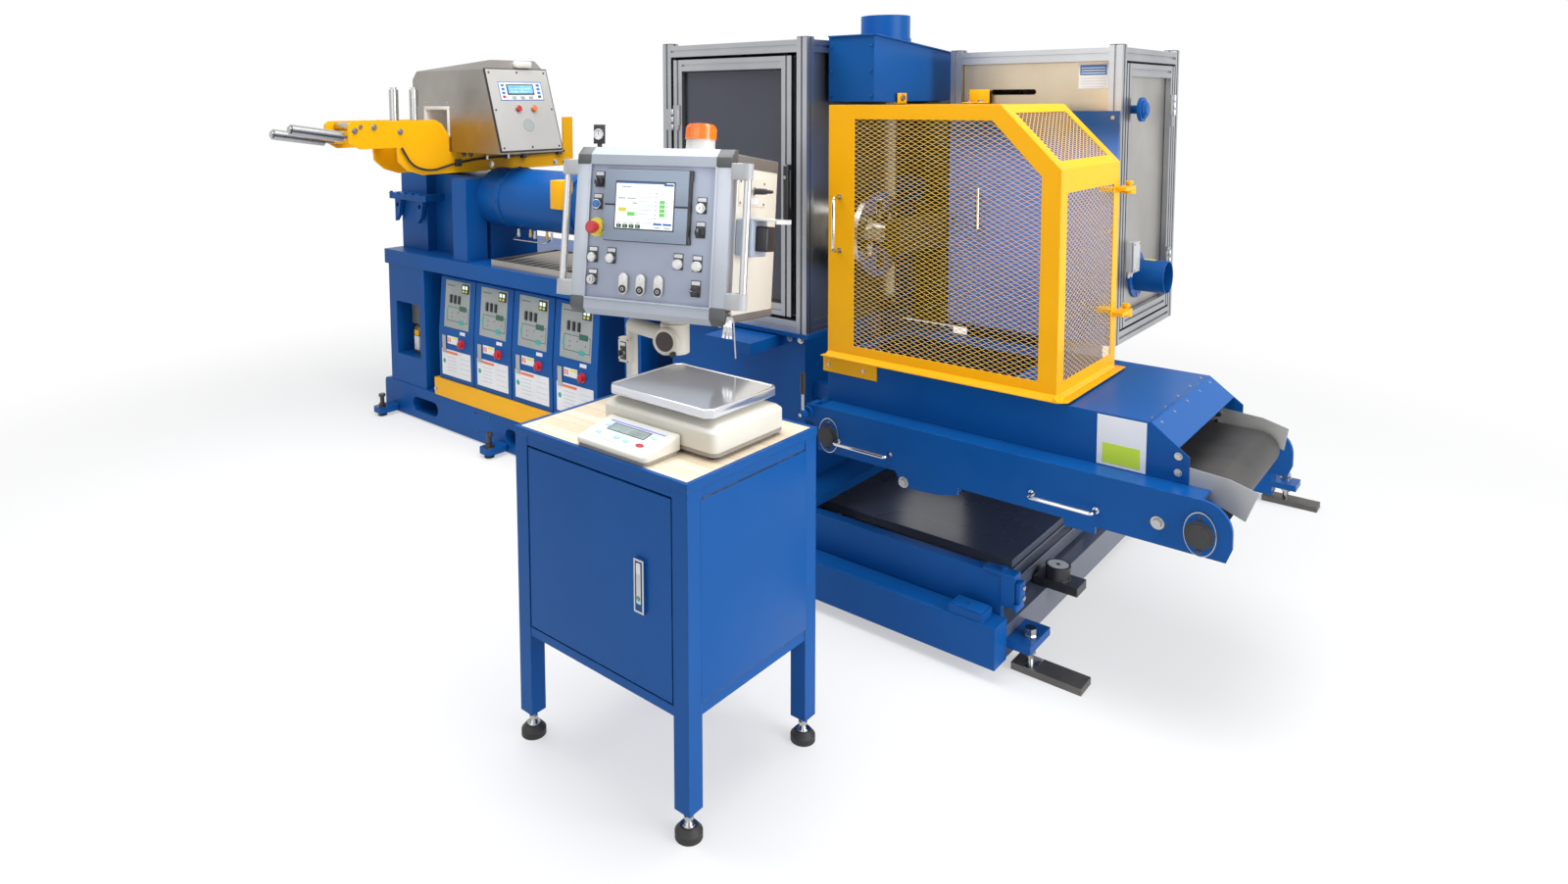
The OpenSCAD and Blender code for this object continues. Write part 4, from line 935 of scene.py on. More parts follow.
shelf_low, shelf_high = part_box("kick_shelf")
shelf_bolts = repeat(bolt(0.016, ground), [to_front(x, shelf_low.y, shelf_low.z + 0.034)
    for x in (shelf_low.x + 0.016, shelf_high.x - 0.016)])
assemble("shelf_bolts", "machine", shelf_bolts)

# ---------------------------------------------------------------- grease pump
# Piston pump with its motor box over a banded clear reservoir, in the recess of the
# column that greases the screw bearings.
clear_amber = moulded("grease_reservoir", (0.24, 0.20, 0.12), (0.34, 0.29, 0.19), 0.16, coat=0.5)
pump_low, pump_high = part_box("grease_pump")
pump_x, pump_y = pump_low.x + 0.050, pump_low.y + 0.050
tank = turned(0.042, [(0, 0.006), (0.003, 0), (0, 0.034), (0, 0.034), (0, 0.034), (0, 0.034)],
    clear_amber, 40)
for z in (0.040, 0.074, 0.108):
    bevel(tank, 0.004, lambda e: at(e, 2, z, 0.002) and all(v.co.xy.length > 0.035
        for v in e.verts), 3)
lid = turned(0.050, [(0, 0.012), (0.003, 0.003), (0.012, 0.006)], black, 40)
base_ring = turned(0.047, [(0, 0.010), (0.003, 0.002)], black, 40)
at_pump = shift(pump_x, pump_y, pump_low.z)
stand = set_down(at_pump @ shift(z=0.148), lid) + set_down(at_pump, base_ring)
stand += set_down(at_pump @ shift(z=0.004), tank)
motor = block((pump_low.x + 0.004, pump_low.y + 0.002, pump_high.z - 0.113),
    (pump_low.x + 0.094, pump_low.y + 0.098, pump_high.z), grey_plastic, 0.004)
for z in (0.030, 0.060):
    choose(motor, "FACE", lambda face: True)
    bpy.ops.mesh.bisect(plane_co=(0, 0, pump_high.z - z), plane_no=(0, 0, 1))
    done()
front_y = pump_low.y
label = [block((pump_x - 0.022, front_y - 0.0012, pump_low.z + 0.022),
        (pump_x + 0.022, front_y + 0.010, pump_low.z + 0.100), label_white, 0.0004),
    block((pump_x - 0.020, front_y - 0.0016, pump_low.z + 0.104),
        (pump_x + 0.020, front_y + 0.012, pump_low.z + 0.134), yellow, 0.0004)]
straps = [block((x - 0.003, front_y + 0.020, pump_low.z),
    (x + 0.003, front_y + 0.034, pump_low.z + 0.156), anodised, 0.001)
    for x in (pump_x - 0.044, pump_x + 0.044)]
port = to_right(pump_low.x + 0.094, pump_low.y + 0.030, pump_high.z - 0.096)
button = set_down(port, turned(0.009, [(0, 0.006), (0.002, 0.004)], red_plastic, 20))
pump = assemble("greaser", "machine", stand + [motor] + label + straps + button)
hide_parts("grease_pump")

# ---------------------------------------------------------------- extruder base and housing
# Lock nuts on the jacking bolts, button screws along the base, and the studs that
# close the flange of the feed housing.
base_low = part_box("extruder_base")[0]
housing_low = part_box("feed_housing")[0]
bolts_low, bolts_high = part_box("jacking_bolts")
nuts = [shift(base_low.x + x, y, 0.050) for x in (0.101, 1.091, 1.999)
    for y in (bolts_low.y + 0.025, bolts_high.y - 0.025)]
assemble("lock_nuts", "machine", repeat(bolt(0.036, black), nuts))
flange_z = housing_low.z + 0.314
front_y = housing_low.y + 0.033
studs = [shift(housing_low.x + x, front_y - 0.004, flange_z)
    for x in (0.028, 0.098, 0.168, 0.238, 0.318)]
studs += [shift(housing_low.x + 0.012, front_y + y, flange_z) for y in (0.10, 0.22, 0.34)]
assemble("flange_studs", "machine", repeat(bolt(0.017, blue), studs))
plugs = [to_front(base_low.x + x, base_low.y + 0.118, z)
    for x, z in ((0.860, 0.150), (0.980, 0.150), (0.880, 0.060), (1.560, 0.150), (1.700, 0.060))]
assemble("base_plugs", "machine", repeat(rivet(0.014, black), plugs))

# ---------------------------------------------------------------- screw barrel
# Button screws round the clamp rings of the barrel, brass and steel oil fittings below
# it, a yellow wedge on its side and a pressure gauge on a black plate above.
barrel_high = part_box("drive_barrel")[1]
axis_y, axis_z = -0.061, barrel_high.z - 0.166
brass = bright("brass_fitting", (0.50, 0.33, 0.10), (0.58, 0.40, 0.14), 0.22, (30, 30, 30), 0.1)
clamp_screws = []
for x in (-1.244, -0.705):
    for turn in range(0, 360, 45):
        out = Vector((0, math.cos(math.radians(turn)), math.sin(math.radians(turn))))
        reach = 0.160 if x < -1 else 0.166
        clamp_screws.append(seat((x, axis_y + out.y * reach, axis_z + out.z * reach), out,
            (1, 0, 0)))
assemble("clamp_screws", "machine", repeat(rivet(0.014, black), clamp_screws))
wedge = block((-0.766, -0.262, 1.245), (-0.686, -0.190, 1.379), yellow, 0.003)
choose(wedge, "FACE", lambda face: face.normal.x < -0.9)
bpy.ops.transform.resize(value=(1, 1, 0.55), center_override=(-0.766, -0.226, 1.245))
done()
assemble("barrel_wedge", "machine", [wedge])
fittings = []
for k, x in enumerate((-1.190, -1.120, -1.060, -0.990, -0.930)):
    foot = shift(x, axis_y - 0.060 + 0.02 * (k % 2), axis_z - 0.188)
    stub = turned(0.009, [(0, 0.020), (0.002, 0.004), (0, 0.016)], brass if k % 2 else ground, 6)
    fittings += set_down(foot, stub)
fittings.append(bent_rod([(-1.190, axis_y - 0.060, axis_z - 0.180),
    (-1.190, axis_y - 0.100, axis_z - 0.196), (-0.930, axis_y - 0.100, axis_z - 0.196),
    (-0.930, axis_y - 0.060, axis_z - 0.180)], 0.004, 0.015, ground))
assemble("oil_fittings", "machine", fittings)

gauge_plate = block((-0.030, -0.046, 0), (0.030, 0.046, 0.006), dark_plastic, 0.002)
ring = turned(0.026, [(0, 0.016), (0.003, 0.002), (0.002, -0.004)], ground, 40)
dial = turned(0.021, [(0, 0.0148), (0.001, 0.0004)], label_white, 40)
pointer = block((-0.001, -0.004, 0.0152), (0.001, 0.016, 0.0160), black, 0.0003)
ticks = repeat(block((-0.0006, 0.0155, 0.0152), (0.0006, 0.0190, 0.0157), black, 0.0002),
    [about("Z", a) for a in range(-135, 136, 30)])
stem = block((-0.012, -0.130, -0.004), (0.012, -0.040, 0.002), dark_plastic, 0.002)
gauge_seat = seat((-0.693, -0.011, 1.588), (0.4, -1, 0.05), (0, 0, 1))
assemble("pressure_gauge", "machine",
    [gauge_plate, ring, dial, pointer, stem] + ticks, gauge_seat)
gauge_post = block((-0.708, -0.012, axis_z + 0.10), (-0.678, 0.004, 1.520), black, 0.002)
assemble("gauge_post", "machine", [gauge_post])

# ---------------------------------------------------------------- detector panel
# Pale control plate on the end of the stainless detector housing: a framed display
# between two rows of keys, a reset and a lamp button, and sheet screws round the rim.
pale_plate = bright("pale_plate", (0.44, 0.43, 0.41), (0.49, 0.48, 0.46), 0.36, (40, 40, 3), 0.12,
    metallic=0.35)
wear_material(pale_plate, "detector_panel")
glow = glowing("blue_display", (0.10, 0.32, 0.75), (0.22, 0.50, 0.90), 40, 0.35)
detector_low, detector_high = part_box("metal_detector")
plate_low, plate_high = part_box("detector_panel")
lean = math.atan2(0.145, 0.466)
plate_out = Vector((math.cos(lean), 0, math.sin(lean)))
plate_up = Vector((-math.sin(lean), 0, math.cos(lean)))
panel_seat = seat(Vector((plate_high.x - 0.0067, plate_low.y, plate_low.z)) + plate_out * 0.0069,
    plate_out, plate_up)
keys = tiles(
    (0.057, 0.258, 0.329, 0.356, 0.0010, blue_plastic),
    (0.061, 0.262, 0.325, 0.352, 0.0012, label_white),
    (0.104, 0.288, 0.272, 0.343, 0.0030, dark_plastic, 0.0008),
    (0.110, 0.294, 0.266, 0.337, 0.0034, glow, 0.0008))
for row in range(4):
    y = 0.272 + row * 0.020
    keys += tiles(
        (0.072, y, 0.090, y + 0.012, 0.0016, red_plastic if row == 0 else blue_plastic, 0.001),
        (0.292, y, 0.312, y + 0.012, 0.0016, green_print if row == 0 else blue_plastic, 0.001))
for x in (0.128, 0.180, 0.232):
    keys.append(tile(x, 0.266, x + 0.026, 0.280, 0.0018, unit_grey, 0.001))
for y in (0.302, 0.317):
    keys.append(tile(0.120, y, 0.250, y + 0.002, 0.0036, label_white, 0.0008, 0.0001))
cup = turned(0.0215, [(0, 0.004), (0.004, 0.001), (0.002, 0)], ground, 32)
keys += repeat(cup, [shift(0.152, 0.214), shift(0.250, 0.214)])
for x, material in ((0.152, red_plastic), (0.250, orange_print)):
    dished = turned(0.0150, [(0, 0.012), (0.002, 0.002), (0.005, -0.0015)], material, 32)
    keys += set_down(shift(x, 0.214), dished)
keys += repeat(rivet(0.011, dark_plastic),
    spots(((0.016, 0.405), (0.188, 0.407), (0.360, 0.405), (0.014, 0.210), (0.365, 0.210),
    (0.016, 0.014), (0.190, 0.014), (0.362, 0.014))))
# bare round badge ring between the buttons and the lower screws
badge = turned(0.034, [(0, 0.0008), (0.0030, 0.0003), (0.0015, -0.0004)], unit_grey, 40)
keys += set_down(shift(0.195, 0.128), badge)
assemble("detector_controls", "machine", keys, panel_seat)

# dark rubber seal between the plate and the housing
seal_w, seal_h = plate_high.y - plate_low.y, 0.422
seal = tiles(
    (-0.006, -0.006, seal_w + 0.006, 0.002, 0.004, rubber),
    (-0.006, seal_h - 0.002, seal_w + 0.006, seal_h + 0.006, 0.004, rubber),
    (-0.006, 0.0, 0.002, seal_h, 0.004, rubber),
    (seal_w - 0.002, 0.0, seal_w + 0.006, seal_h, 0.004, rubber))
assemble("panel_seal", "machine", seal, panel_seat @ shift(z=-0.0045))

# ---------------------------------------------------------------- detector tunnel
# White plastic liner round the opening that the strip runs through, held by screws,
# and a cream plastic cap over the cable entry on the roof.
white_plastic = moulded("white_plastic", (0.76, 0.76, 0.74), (0.80, 0.80, 0.78), 0.34, coat=0.1)
hole_x0, hole_x1, hole_z0, hole_z1 = -1.760, -1.560, detector_low.z + 0.092, detector_low.z + 0.218
outer, inner = detector_low.y - 0.004, detector_high.y + 0.004
lip_x0, lip_x1 = hole_x0 - 0.014, hole_x1 + 0.014
liner = [block((x0, outer, z0), (x1, inner, z1), white_plastic) for x0, x1, z0, z1 in (
    (lip_x0, lip_x1, hole_z1 - 0.002, hole_z1 + 0.016),
    (lip_x0, lip_x1, hole_z0 - 0.016, hole_z0 + 0.002),
    (lip_x0, hole_x0 + 0.004, hole_z0, hole_z1), (hole_x1 - 0.004, lip_x1, hole_z0, hole_z1))]
assemble("tunnel_liner", "machine", liner)
row = [to_front(hole_x0 + x, detector_low.y, hole_z1 + 0.034) for x in (0.0, 0.1, 0.2)]
assemble("liner_screws", "machine", repeat(rivet(0.009, ground), row))
cap = block((-1.330, -0.080, detector_high.z - 0.040), (-1.230, 0.020, detector_high.z - 0.004),
    cream_plastic, 0.012, 4)
assemble("cable_cap", "machine", [cap])

# ---------------------------------------------------------------- feed bracket wiring
# Rubber cable clipped along the yellow plate from the arm to the detector glands,
# with black clamp blocks, and the plated bolts that hold the bracket together.
plate_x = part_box("feed_bracket")[1].x
wiring = [bent_rod([(0.010, -0.560, 1.520), (0.012, -0.505, 1.425), (0.012, -0.400, 1.395),
    (0.010, -0.250, 1.428), (0.010, -0.100, 1.446), (0.010, 0.150, 1.452), (0.010, 0.480, 1.462)],
    0.006, 0.05, rubber)]
wiring += [block((-0.001, y - 0.016, z - 0.018), (0.020, y + 0.016, z + 0.018), dark_plastic, 0.002)
    for y, z in ((-0.235, 1.430), (0.190, 1.453), (0.440, 1.461))]
wiring += [block((0.001, y - 0.008, 1.436), (0.018, y + 0.008, 1.464), ground, 0.002)
    for y in (-0.060, 0.080)]
assemble("bracket_wiring", "machine", wiring, shift(plate_x))
end_bolts = [to_right(plate_x, y, z) for y, z in ((-0.800, 1.610), (-0.700, 1.625),
    (-0.560, 1.600), (0.420, 1.400), (0.490, 1.400), (-0.020, 1.410))]
assemble("bracket_bolts", "machine", repeat(bolt(0.019, ground), end_bolts))
glands = []
for x in (plate_x + 0.060, plate_x + 0.120):
    glands += set_down(seat((x, detector_low.y + 0.040, detector_low.z), (0, 0, -1), (0, 1, 0)),
        turned(0.013, [(0, 0.010), (0.002, 0.008), (0.003, 0.006)], dark_plastic, 12))
assemble("cable_glands", "machine", glands)

# ---------------------------------------------------------------- centre enclosure
# Slotted aluminium frame with a smoked acrylic door: leaf hinges with four screws,
# a long black pull with a lock, rubber gasket round the pane, angle bolts below.
door_low, door_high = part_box("centre_door_frame")
pane_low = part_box("centre_door_pane")[0]
cabin_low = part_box("centre_frame")[0]
profile = 0.045
door_face = to_front(door_low.x, pane_low.y - 0.0195, door_low.z)
door_w, door_h = door_high.x - door_low.x, door_high.z - door_low.z
hidden, seen = profile - 0.001, profile + 0.005       # borders of the gasket
gasket = [tile(*strip, 0.010, rubber, -0.018) for strip in (
    (hidden, hidden, seen, door_h - hidden), (door_w - seen, hidden, door_w - hidden,
    door_h - hidden), (profile, hidden, door_w - profile, seen),
    (profile, door_h - seen, door_w - profile, door_h - hidden))]
assemble("pane_gasket", "centre_door", gasket, door_face)
pull = block((door_w - 0.021, 0.355, 0.004), (door_w - 0.001, 0.565, 0.022), dark_plastic, 0.004, 3)
choose(pull, "FACE", lambda face: face.normal.z > 0.9)
bpy.ops.mesh.inset(thickness=0.003)
bpy.ops.transform.translate(value=(0, 0, 0.002))
done()
lock = turned(0.006, [(0, 0.003), (0.001, 0.0005), (0.002, -0.001)], ground, 20)
door_parts = [pull] + set_down(shift(door_w - 0.011, 0.520, 0.022), lock)
for foot in (0.362, 0.548):
    door_parts.append(block((door_w - 0.018, foot - 0.006, -0.004),
        (door_w - 0.004, foot + 0.018, 0.006), dark_plastic, 0.002))
assemble("door_pull", "centre_door", door_parts, door_face)


def leaf_hinge(width, height):
    """Two cast leaves on a pin with a screw in each corner, its pin on the Y axis."""
    made = [block((-width, 0, 0), (-0.007, height, 0.0055), anodised, 0.0015),
        block((0.007, 0, 0), (width, height, 0.0055), anodised, 0.0015)]
    knuckle = turned(0.0075, [(0, height * 0.30)], anodised, 24, soft=0.001)
    pin_seat = seat((0, 0, 0.0055), (0, 1, 0), (0, 0, -1))
    made += repeat(knuckle, [pin_seat @ shift(z=z) for z in (0.0, height * 0.35, height * 0.70)])
    screw = turned(0.0045, [(0, 0.0012), (0.0012, -0.0008)], ground, 16)
    made += repeat(screw, [shift(side * width * 0.62, height * y, 0.0055) for side in (-1, 1)
        for y in (0.22, 0.78)])
    return made


hinge_parts = []
for z in (0.160, door_h - 0.280):
    hinge_parts += move(leaf_hinge(0.034, 0.085), door_face @ shift(-0.004, z, 0.0005))
assemble("centre_hinges", "centre_door", hinge_parts)
end_cap = block((-0.0215, -0.0215, 0), (0.0215, 0.0215, 0.0030), dark_plastic, 0.0016)
inset = Vector((profile / 2, profile / 2, 0))
caps = []
for node_name in ("centre_frame", "right_frame"):
    low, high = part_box(node_name)
    low, high = low + inset, high - inset
    caps += grid((low.x, high.x), (low.y, high.y), high.z - 0.0005)
assemble("profile_caps", "machine", repeat(end_cap, caps))
feet_bolts = [to_front(cabin_low.x + x, cabin_low.y, cabin_low.z - 0.022)
    for x in (0.022, 0.060, 0.300, 0.640, 0.690)]
assemble("cabin_bolts", "machine", repeat(bolt(0.016, ground), feet_bolts))

# ---------------------------------------------------------------- right enclosure
# The same frame closed with plain sheet. On its front are a bare rating plate and
# vinyl fields, on its door a junction box, a knob and the hose stub with a ring.
right_low, right_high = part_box("right_frame")
rating = [tile(0.480, 0.892, 0.583, 0.981, 0.0008, label_white)]
rating.append(tile(0.486, 0.940, 0.577, 0.975, 0.0004, blue_plastic, 0.0008, 0.0001))
for y in (0.945, 0.954, 0.963):
    rating.append(tile(0.490, y, 0.572, y + 0.003, 0.0003, label_white, 0.0012, 0.0001))
for y in (0.898, 0.908, 0.918, 0.928):
    rating.append(tile(0.488, y, 0.575, y + 0.001, 0.0003, unit_grey, 0.0008, 0.0001))
assemble("rating_plate", "machine", rating,
    to_front(right_low.x, right_low.y + 0.0188, right_low.z))
fit_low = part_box("door_fittings")[0]
door_x = fit_low.x
box_grey = moulded("junction_box_grey", (0.42, 0.43, 0.43), (0.47, 0.48, 0.48), 0.38)
cover = block((-0.033, -0.054, 0.040), (0.033, 0.054, 0.047), box_grey, 0.003)
shell = block((-0.0325, -0.0535, 0.002), (0.0325, 0.0535, 0.0395), box_grey, 0.002)
corner_screw = turned(0.004, [(0, 0.0015), (0.001, -0.0010)], ground, 16)
junction = [cover, shell] + repeat(corner_screw, grid((-0.026, 0.026), (-0.046, 0.046), 0.047))
gland = turned(0.009, [(0, 0.010), (0.0015, 0.006), (0.0015, 0.006)], box_grey, 12)
junction += repeat(gland, [to_front(x, -0.0535, 0.022) for x in (-0.014, 0.014)])
assemble("junction_box", "right_door", junction, to_right(door_x, 0.368, 1.191))
knob = turned(0.0312, [(0, 0.010), (0.004, 0.004), (0.008, 0.004)], blue, 64)
knob_at = to_right(fit_low.x + 0.048, 0.377, 1.708)
assemble("door_knob", "right_door", set_down(knob_at, knob))
hose = to_right(door_x, 0.509, 1.105)
flange_bolts = [hose @ about("Z", a) @ shift(0.073, 0, 0.006) for a in range(30, 390, 60)]
hose_parts = repeat(rivet(0.012, ground), flange_bolts)
sticker = block((-0.020, -0.012, 0.0586), (0.020, 0.012, 0.0598), yellow_print, 0)
apply_modifier(sticker, "SUBSURF", subdivision_type="SIMPLE", levels=3, render_levels=3)
stub_radius = 0.0592        # the sticker is bent round the hose stub
for vertex in sticker.data.vertices:
    around = vertex.co.y / stub_radius
    vertex.co.y, vertex.co.z = math.sin(around) * vertex.co.z, math.cos(around) * vertex.co.z
sticker.data.transform(shift(door_x + 0.050, 0.509, 1.105))
assemble("hose_stub_fittings", "right_door", hose_parts + [sticker])
leaf_parts = []
rear_y = joints["right_door_swing"]["pos_m"][1]
for z in (0.190, 0.790):
    leaf_parts += move(leaf_hinge(0.030, 0.080), to_right(right_high.x + 0.0005, rear_y - 0.020,
        right_low.z + z))
assemble("right_hinges", "right_door", leaf_parts)
rod_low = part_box("right_face_panel")[0]
bar = turned(0.0078, [(0, 0.152), (0.001, 0.0006)], polished, 24)
leg = turned(0.0078, [(0, 0.033)], polished, 24)
pull_rod = set_down(shift(1.145, rod_low.y + 0.007, 1.2642), bar)
pull_rod += repeat(leg, [to_rear(1.145, rod_low.y + 0.007, z) for z in (1.275, 1.391)])
assemble("face_pull", "machine", pull_rod)

# ---------------------------------------------------------------- tower and guard top
# Rivets round the duct tower, the bolted yellow tab that the guard closes against,
# and the angle bracket beside it on the enclosure.
tower_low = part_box("duct_tower")[0]
rivets = [to_front(tower_low.x + x, tower_low.y + 0.0005, 1.760 + z)
    for x in (0.012, 0.182) for z in (0.0, 0.09, 0.18)]
assemble("tower_rivets", "machine", repeat(rivet(0.011, blue), rivets))
tab = block((0.927, -0.018, 1.735), (0.930, 0.047, 1.771), yellow, 0.001)
tab_foot = block((0.880, -0.018, 1.732), (0.930, 0.047, 1.735), yellow, 0.001)
tab_bolt = set_down(to_right(0.930, 0.014, 1.754), bolt(0.016, ground))
assemble("guard_tab", "machine", [tab, tab_foot] + tab_bolt)
angle = [block((1.089, 0.233, 1.732), (1.168, 0.239, 1.782), yellow, 0.001),
    block((1.089, 0.170, 1.732), (1.168, 0.236, 1.736), yellow, 0.001)]
angle += repeat(bolt(0.016, ground), [shift(x, 0.200, 1.736) for x in (1.105, 1.150)])
assemble("angle_bracket", "machine", angle)

# ---------------------------------------------------------------- hood and conveyor
# Folded hood riveted to its end sheet, with a plain white and lime vinyl sign; below
# it the conveyor beams with bright pull handles, bearing caps, bolts and a black belt.
hood_low, hood_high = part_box("hood")
beam_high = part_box("conveyor_frame")[1]
beam_x, beam_y = 0.890, -0.461
beam_foot, beam_top = beam_high.z - 0.152, beam_high.z
lime = moulded("lime_print", (0.52, 0.70, 0.03), (0.57, 0.75, 0.05), 0.36, 500, 0.0001)
hood_side = to_front(hood_low.x, hood_low.y, hood_low.z)
sign = tiles(
    (0.930, 0.002, 1.066, 0.148, 0.0008, label_white),
    (0.946, 0.010, 1.050, 0.068, 0.0004, lime, 0.0008))
assemble("plain_sign", "machine", sign, hood_side)
fall = math.atan(0.76)
end_out = Vector((math.sin(fall), 0, math.cos(fall)))
end_up = Vector((-math.cos(fall), 0, math.sin(fall)))
rivets_y = [hood_low.y + y for y in (0.05, 0.17, 0.30, 0.43, 0.55)]
across_top = [shift(1.935, y, hood_high.z) for y in rivets_y]
slope_row = [seat((1.962, y, beam_top + 0.1435), end_out, end_up) for y in rivets_y]
assemble("hood_rivets", "machine",
    repeat(rivet(0.009, ground), across_top + slope_row))
end_strip = block((1.944, hood_low.y + 0.004, hood_high.z - 0.0005),
    (1.950, hood_high.y - 0.004, hood_high.z + 0.0015), blue, 0.0006)
side_bolts = repeat(bolt(0.013, ground), [hood_side @ shift(1.150, y) for y in (0.028, 0.074)])
assemble("hood_bolts", "machine", side_bolts + [end_strip])

beam_side = to_front(beam_x, beam_y, beam_foot)
far_side = to_rear(beam_x, beam_high.y, beam_foot)
handles = []
for x, length in ((0.082, 0.200), (0.758, 0.186)):
    handles += move(pull_handle(length, 0.036, 0.0055, polished), beam_side @ shift(x, 0.049)
        @ about("Z", -90))
assemble("beam_handles", "machine", handles)


def bearing(place):
    """A flanged bearing: rounded plate with two screws and a black cap over the shaft."""
    flange = turned(0.044, [(0, 0.008), (0.0012, 0.0010)], blue, 48)
    scale_all(flange, 0.88, 1.30)
    rim_ring = turned(0.046, [(0, 0.0065), (0.001, 0.0006)], ground, 48)
    scale_all(rim_ring, 0.88, 1.31)
    cap = turned(0.0365, [(0, 0.014), (0.002, 0.008), (0.004, 0.004), (0.006, 0.001)], dark_plastic,
        40)
    screw = turned(0.0065, [(0, 0.011), (0.001, 0.001)], black, 6)
    return move([flange, rim_ring, cap] + repeat(screw, [shift(y=y) for y in (-0.046, 0.046)]),
        place)


bearings = []
for side, way in ((beam_side, 1), (far_side, -1)):
    for x in (0.046, 1.214):
        bearings += bearing(side @ shift(x * way, 0.061))
assemble("belt_bearings", "machine", bearings)
pivots = []
for side, way in ((beam_side, 1), (far_side, -1)):
    pivots += repeat(bolt(0.022, ground), spots(((0.333 * way, -0.030), (1.107 * way, 0.060)), 0,
        side))
    pivots += repeat(rivet(0.010, blue),
        spots(((0.270 * way, 0.012), (0.530 * way, -0.004), (0.560 * way, 0.120)), 0, side))
line_groove = block((1.075, 0.056, -0.0004), (1.140, 0.058, 0.0005), black, 0.0002)
line_groove.data.transform(beam_side)
assemble("beam_bolts", "machine", pivots + [line_groove])
guide_low, guide_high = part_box("belt_guides")
guide_bolts = [to_front(guide_low.x + 0.030, guide_high.y - 0.0032, beam_top + z)
    for z in (0.006, 0.036)]
slots = [block((guide_low.x + 0.012, guide_high.y - 0.0036, beam_top + z - 0.003),
    (guide_low.x + 0.040, guide_high.y - 0.0030, beam_top + z + 0.003), black, 0.0002)
    for z in (0.006, 0.036)]
assemble("guide_bolts", "machine", repeat(bolt(0.013, ground), guide_bolts) + slots)

# ---------------------------------------------------------------- clamp lever
# Bright rod screwed into a painted hub on the cross tube, with a waisted black grip,
# and the two painted clamps that hold the tube on the beams.
lever_low, lever_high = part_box("clamp_lever")
pivot = Vector(joints["clamp_lever_swing"]["pos_m"])
hub = turned(0.0155, [(0, 0.010), (0, 0.012), (0.003, 0.003)], blue, 32)
hub_at = to_front(pivot.x, lever_high.y - 0.010, pivot.z)
centre_screw = turned(0.007, [(0, 0.003), (0.001, -0.0012)], ground, 6)
stem = turned(0.006, [(0, 0.078)], polished, 24)
grip = turned(0.0105, [(0, 0.010), (-0.0010, 0.010), (0, 0.040), (0.0010, 0.012), (0.003, 0.004)],
    dark_plastic, 28)
stem_at = shift(pivot.x, lever_low.y + 0.012, pivot.z)
lever_parts = set_down(hub_at, hub) + set_down(hub_at @ shift(z=0.025), centre_screw)
lever_parts += set_down(stem_at, stem) + set_down(stem_at @ shift(z=0.072), grip)
lever_piece = assemble("ribbed_lever", "lever", lever_parts)
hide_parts("clamp_lever")
tube_clamps = [block((0.835, beam_y + y, 0.640), (0.857, beam_y + y + 0.040, 0.694), blue, 0.003)
    for y in (0.030, 0.700)]
assemble("tube_clamps", "machine", tube_clamps)

# ---------------------------------------------------------------- lower base fittings
# Cast blocks with their screws at the end of the front rail, a strip along its foot, a
# bright machined patch on the foot bar, and the rubber-rimmed face of the beam stop.
rail_end = shift(1.546, -0.435)
blocks = move([block((-0.060, -0.001, 0.296), (0.044, 0.046, 0.309), blue, 0.003),
    block((0.0445, 0.004, 0.222), (0.062, 0.040, 0.288), blue, 0.004),
    block((0.0445, -0.010, 0.200), (0.056, 0.050, 0.222), blue, 0.003)], rail_end)
stop_screws = set_down(rail_end @ shift(0.002, 0.022, 0.309), bolt(0.018, blue))
end_screws = repeat(bolt(0.013, ground, False),
    [rail_end @ to_right(0.062, 0.022, z) for z in (0.240, 0.272)])
pads = [block((1.430, -0.515, 0.197), (1.520, -0.452, 0.203), blue, 0.002)]
pads += set_down(shift(1.475, -0.485, 0.203), rivet(0.020, blue))
strip = [block((-0.040, -0.5212, 0.168), (1.400, -0.512, 0.1735), blue, 0.001)]
assemble("rail_fittings", "machine", blocks + stop_screws + end_screws + pads + strip)
worn_steel = bright("worn_black_steel", (0.120, 0.115, 0.110), (0.200, 0.192, 0.184), 0.42,
    (6, 6, 6), 0.6, spread=0.25)
wear_material(worn_steel, "foot_bars")
patch = [block((1.610, -0.408, 0.0205), (1.645, -0.330, 0.0228), ground, 0.0006)]
assemble("machined_patch", "machine", patch)
beam_end = shift(1.586, -0.079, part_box("beam_stop")[1].z)
disc = turned(0.0345, [(0, 0.0010), (0.002, 0.0004), (0.024, -0.0006)], label_white, 48)
rim_bead = turned(0.040, [(0, 0.004), (0.002, 0.001), (0.004, -0.002)], rubber, 48)
eye_dot = turned(0.006, [(0, 0.0015), (0.001, 0.0003)], black, 20)
stop_parts = set_down(beam_end @ shift(z=-0.003), rim_bead) + set_down(beam_end, disc)
stop_parts += set_down(beam_end @ shift(z=0.001), eye_dot)
assemble("stop_face", "machine", stop_parts)

# ---------------------------------------------------------------- drip pan
# Black enamelled sheet hung between the slide beams and beside the right one, with
# folded lips, so that crumbs and oil from the cutter don't reach the floor.
pan_foot, pan_top = 0.191, 0.194
pan_front, pan_rear, right_rear = -0.404, -0.050, 0.349
# the pan wears the tray's black with its painted bluish sheen
pan = [block(low, high, painted_sheen_tray_enamel, soft, cuts) for low, high, soft, cuts in (
    ((0.600, pan_front, pan_foot), (0.738, pan_rear, pan_top), 0.001, 2),
    ((0.802, pan_front, pan_foot), (1.368, pan_rear, pan_top), 0.001, 2),
    ((0.802, pan_front, pan_top), (1.368, pan_front + 0.005, pan_top + 0.010), 0.002, 2),
    ((1.432, pan_front, pan_foot), (1.513, right_rear, pan_top), 0.001, 2),
    ((1.478, pan_front, pan_top), (1.484, right_rear, pan_top + 0.013), 0.0025, 3),
    ((1.507, pan_front, pan_top - 0.040), (1.513, right_rear, pan_top + 0.004), 0.0025, 3))]
assemble("drip_pan", "machine", pan)

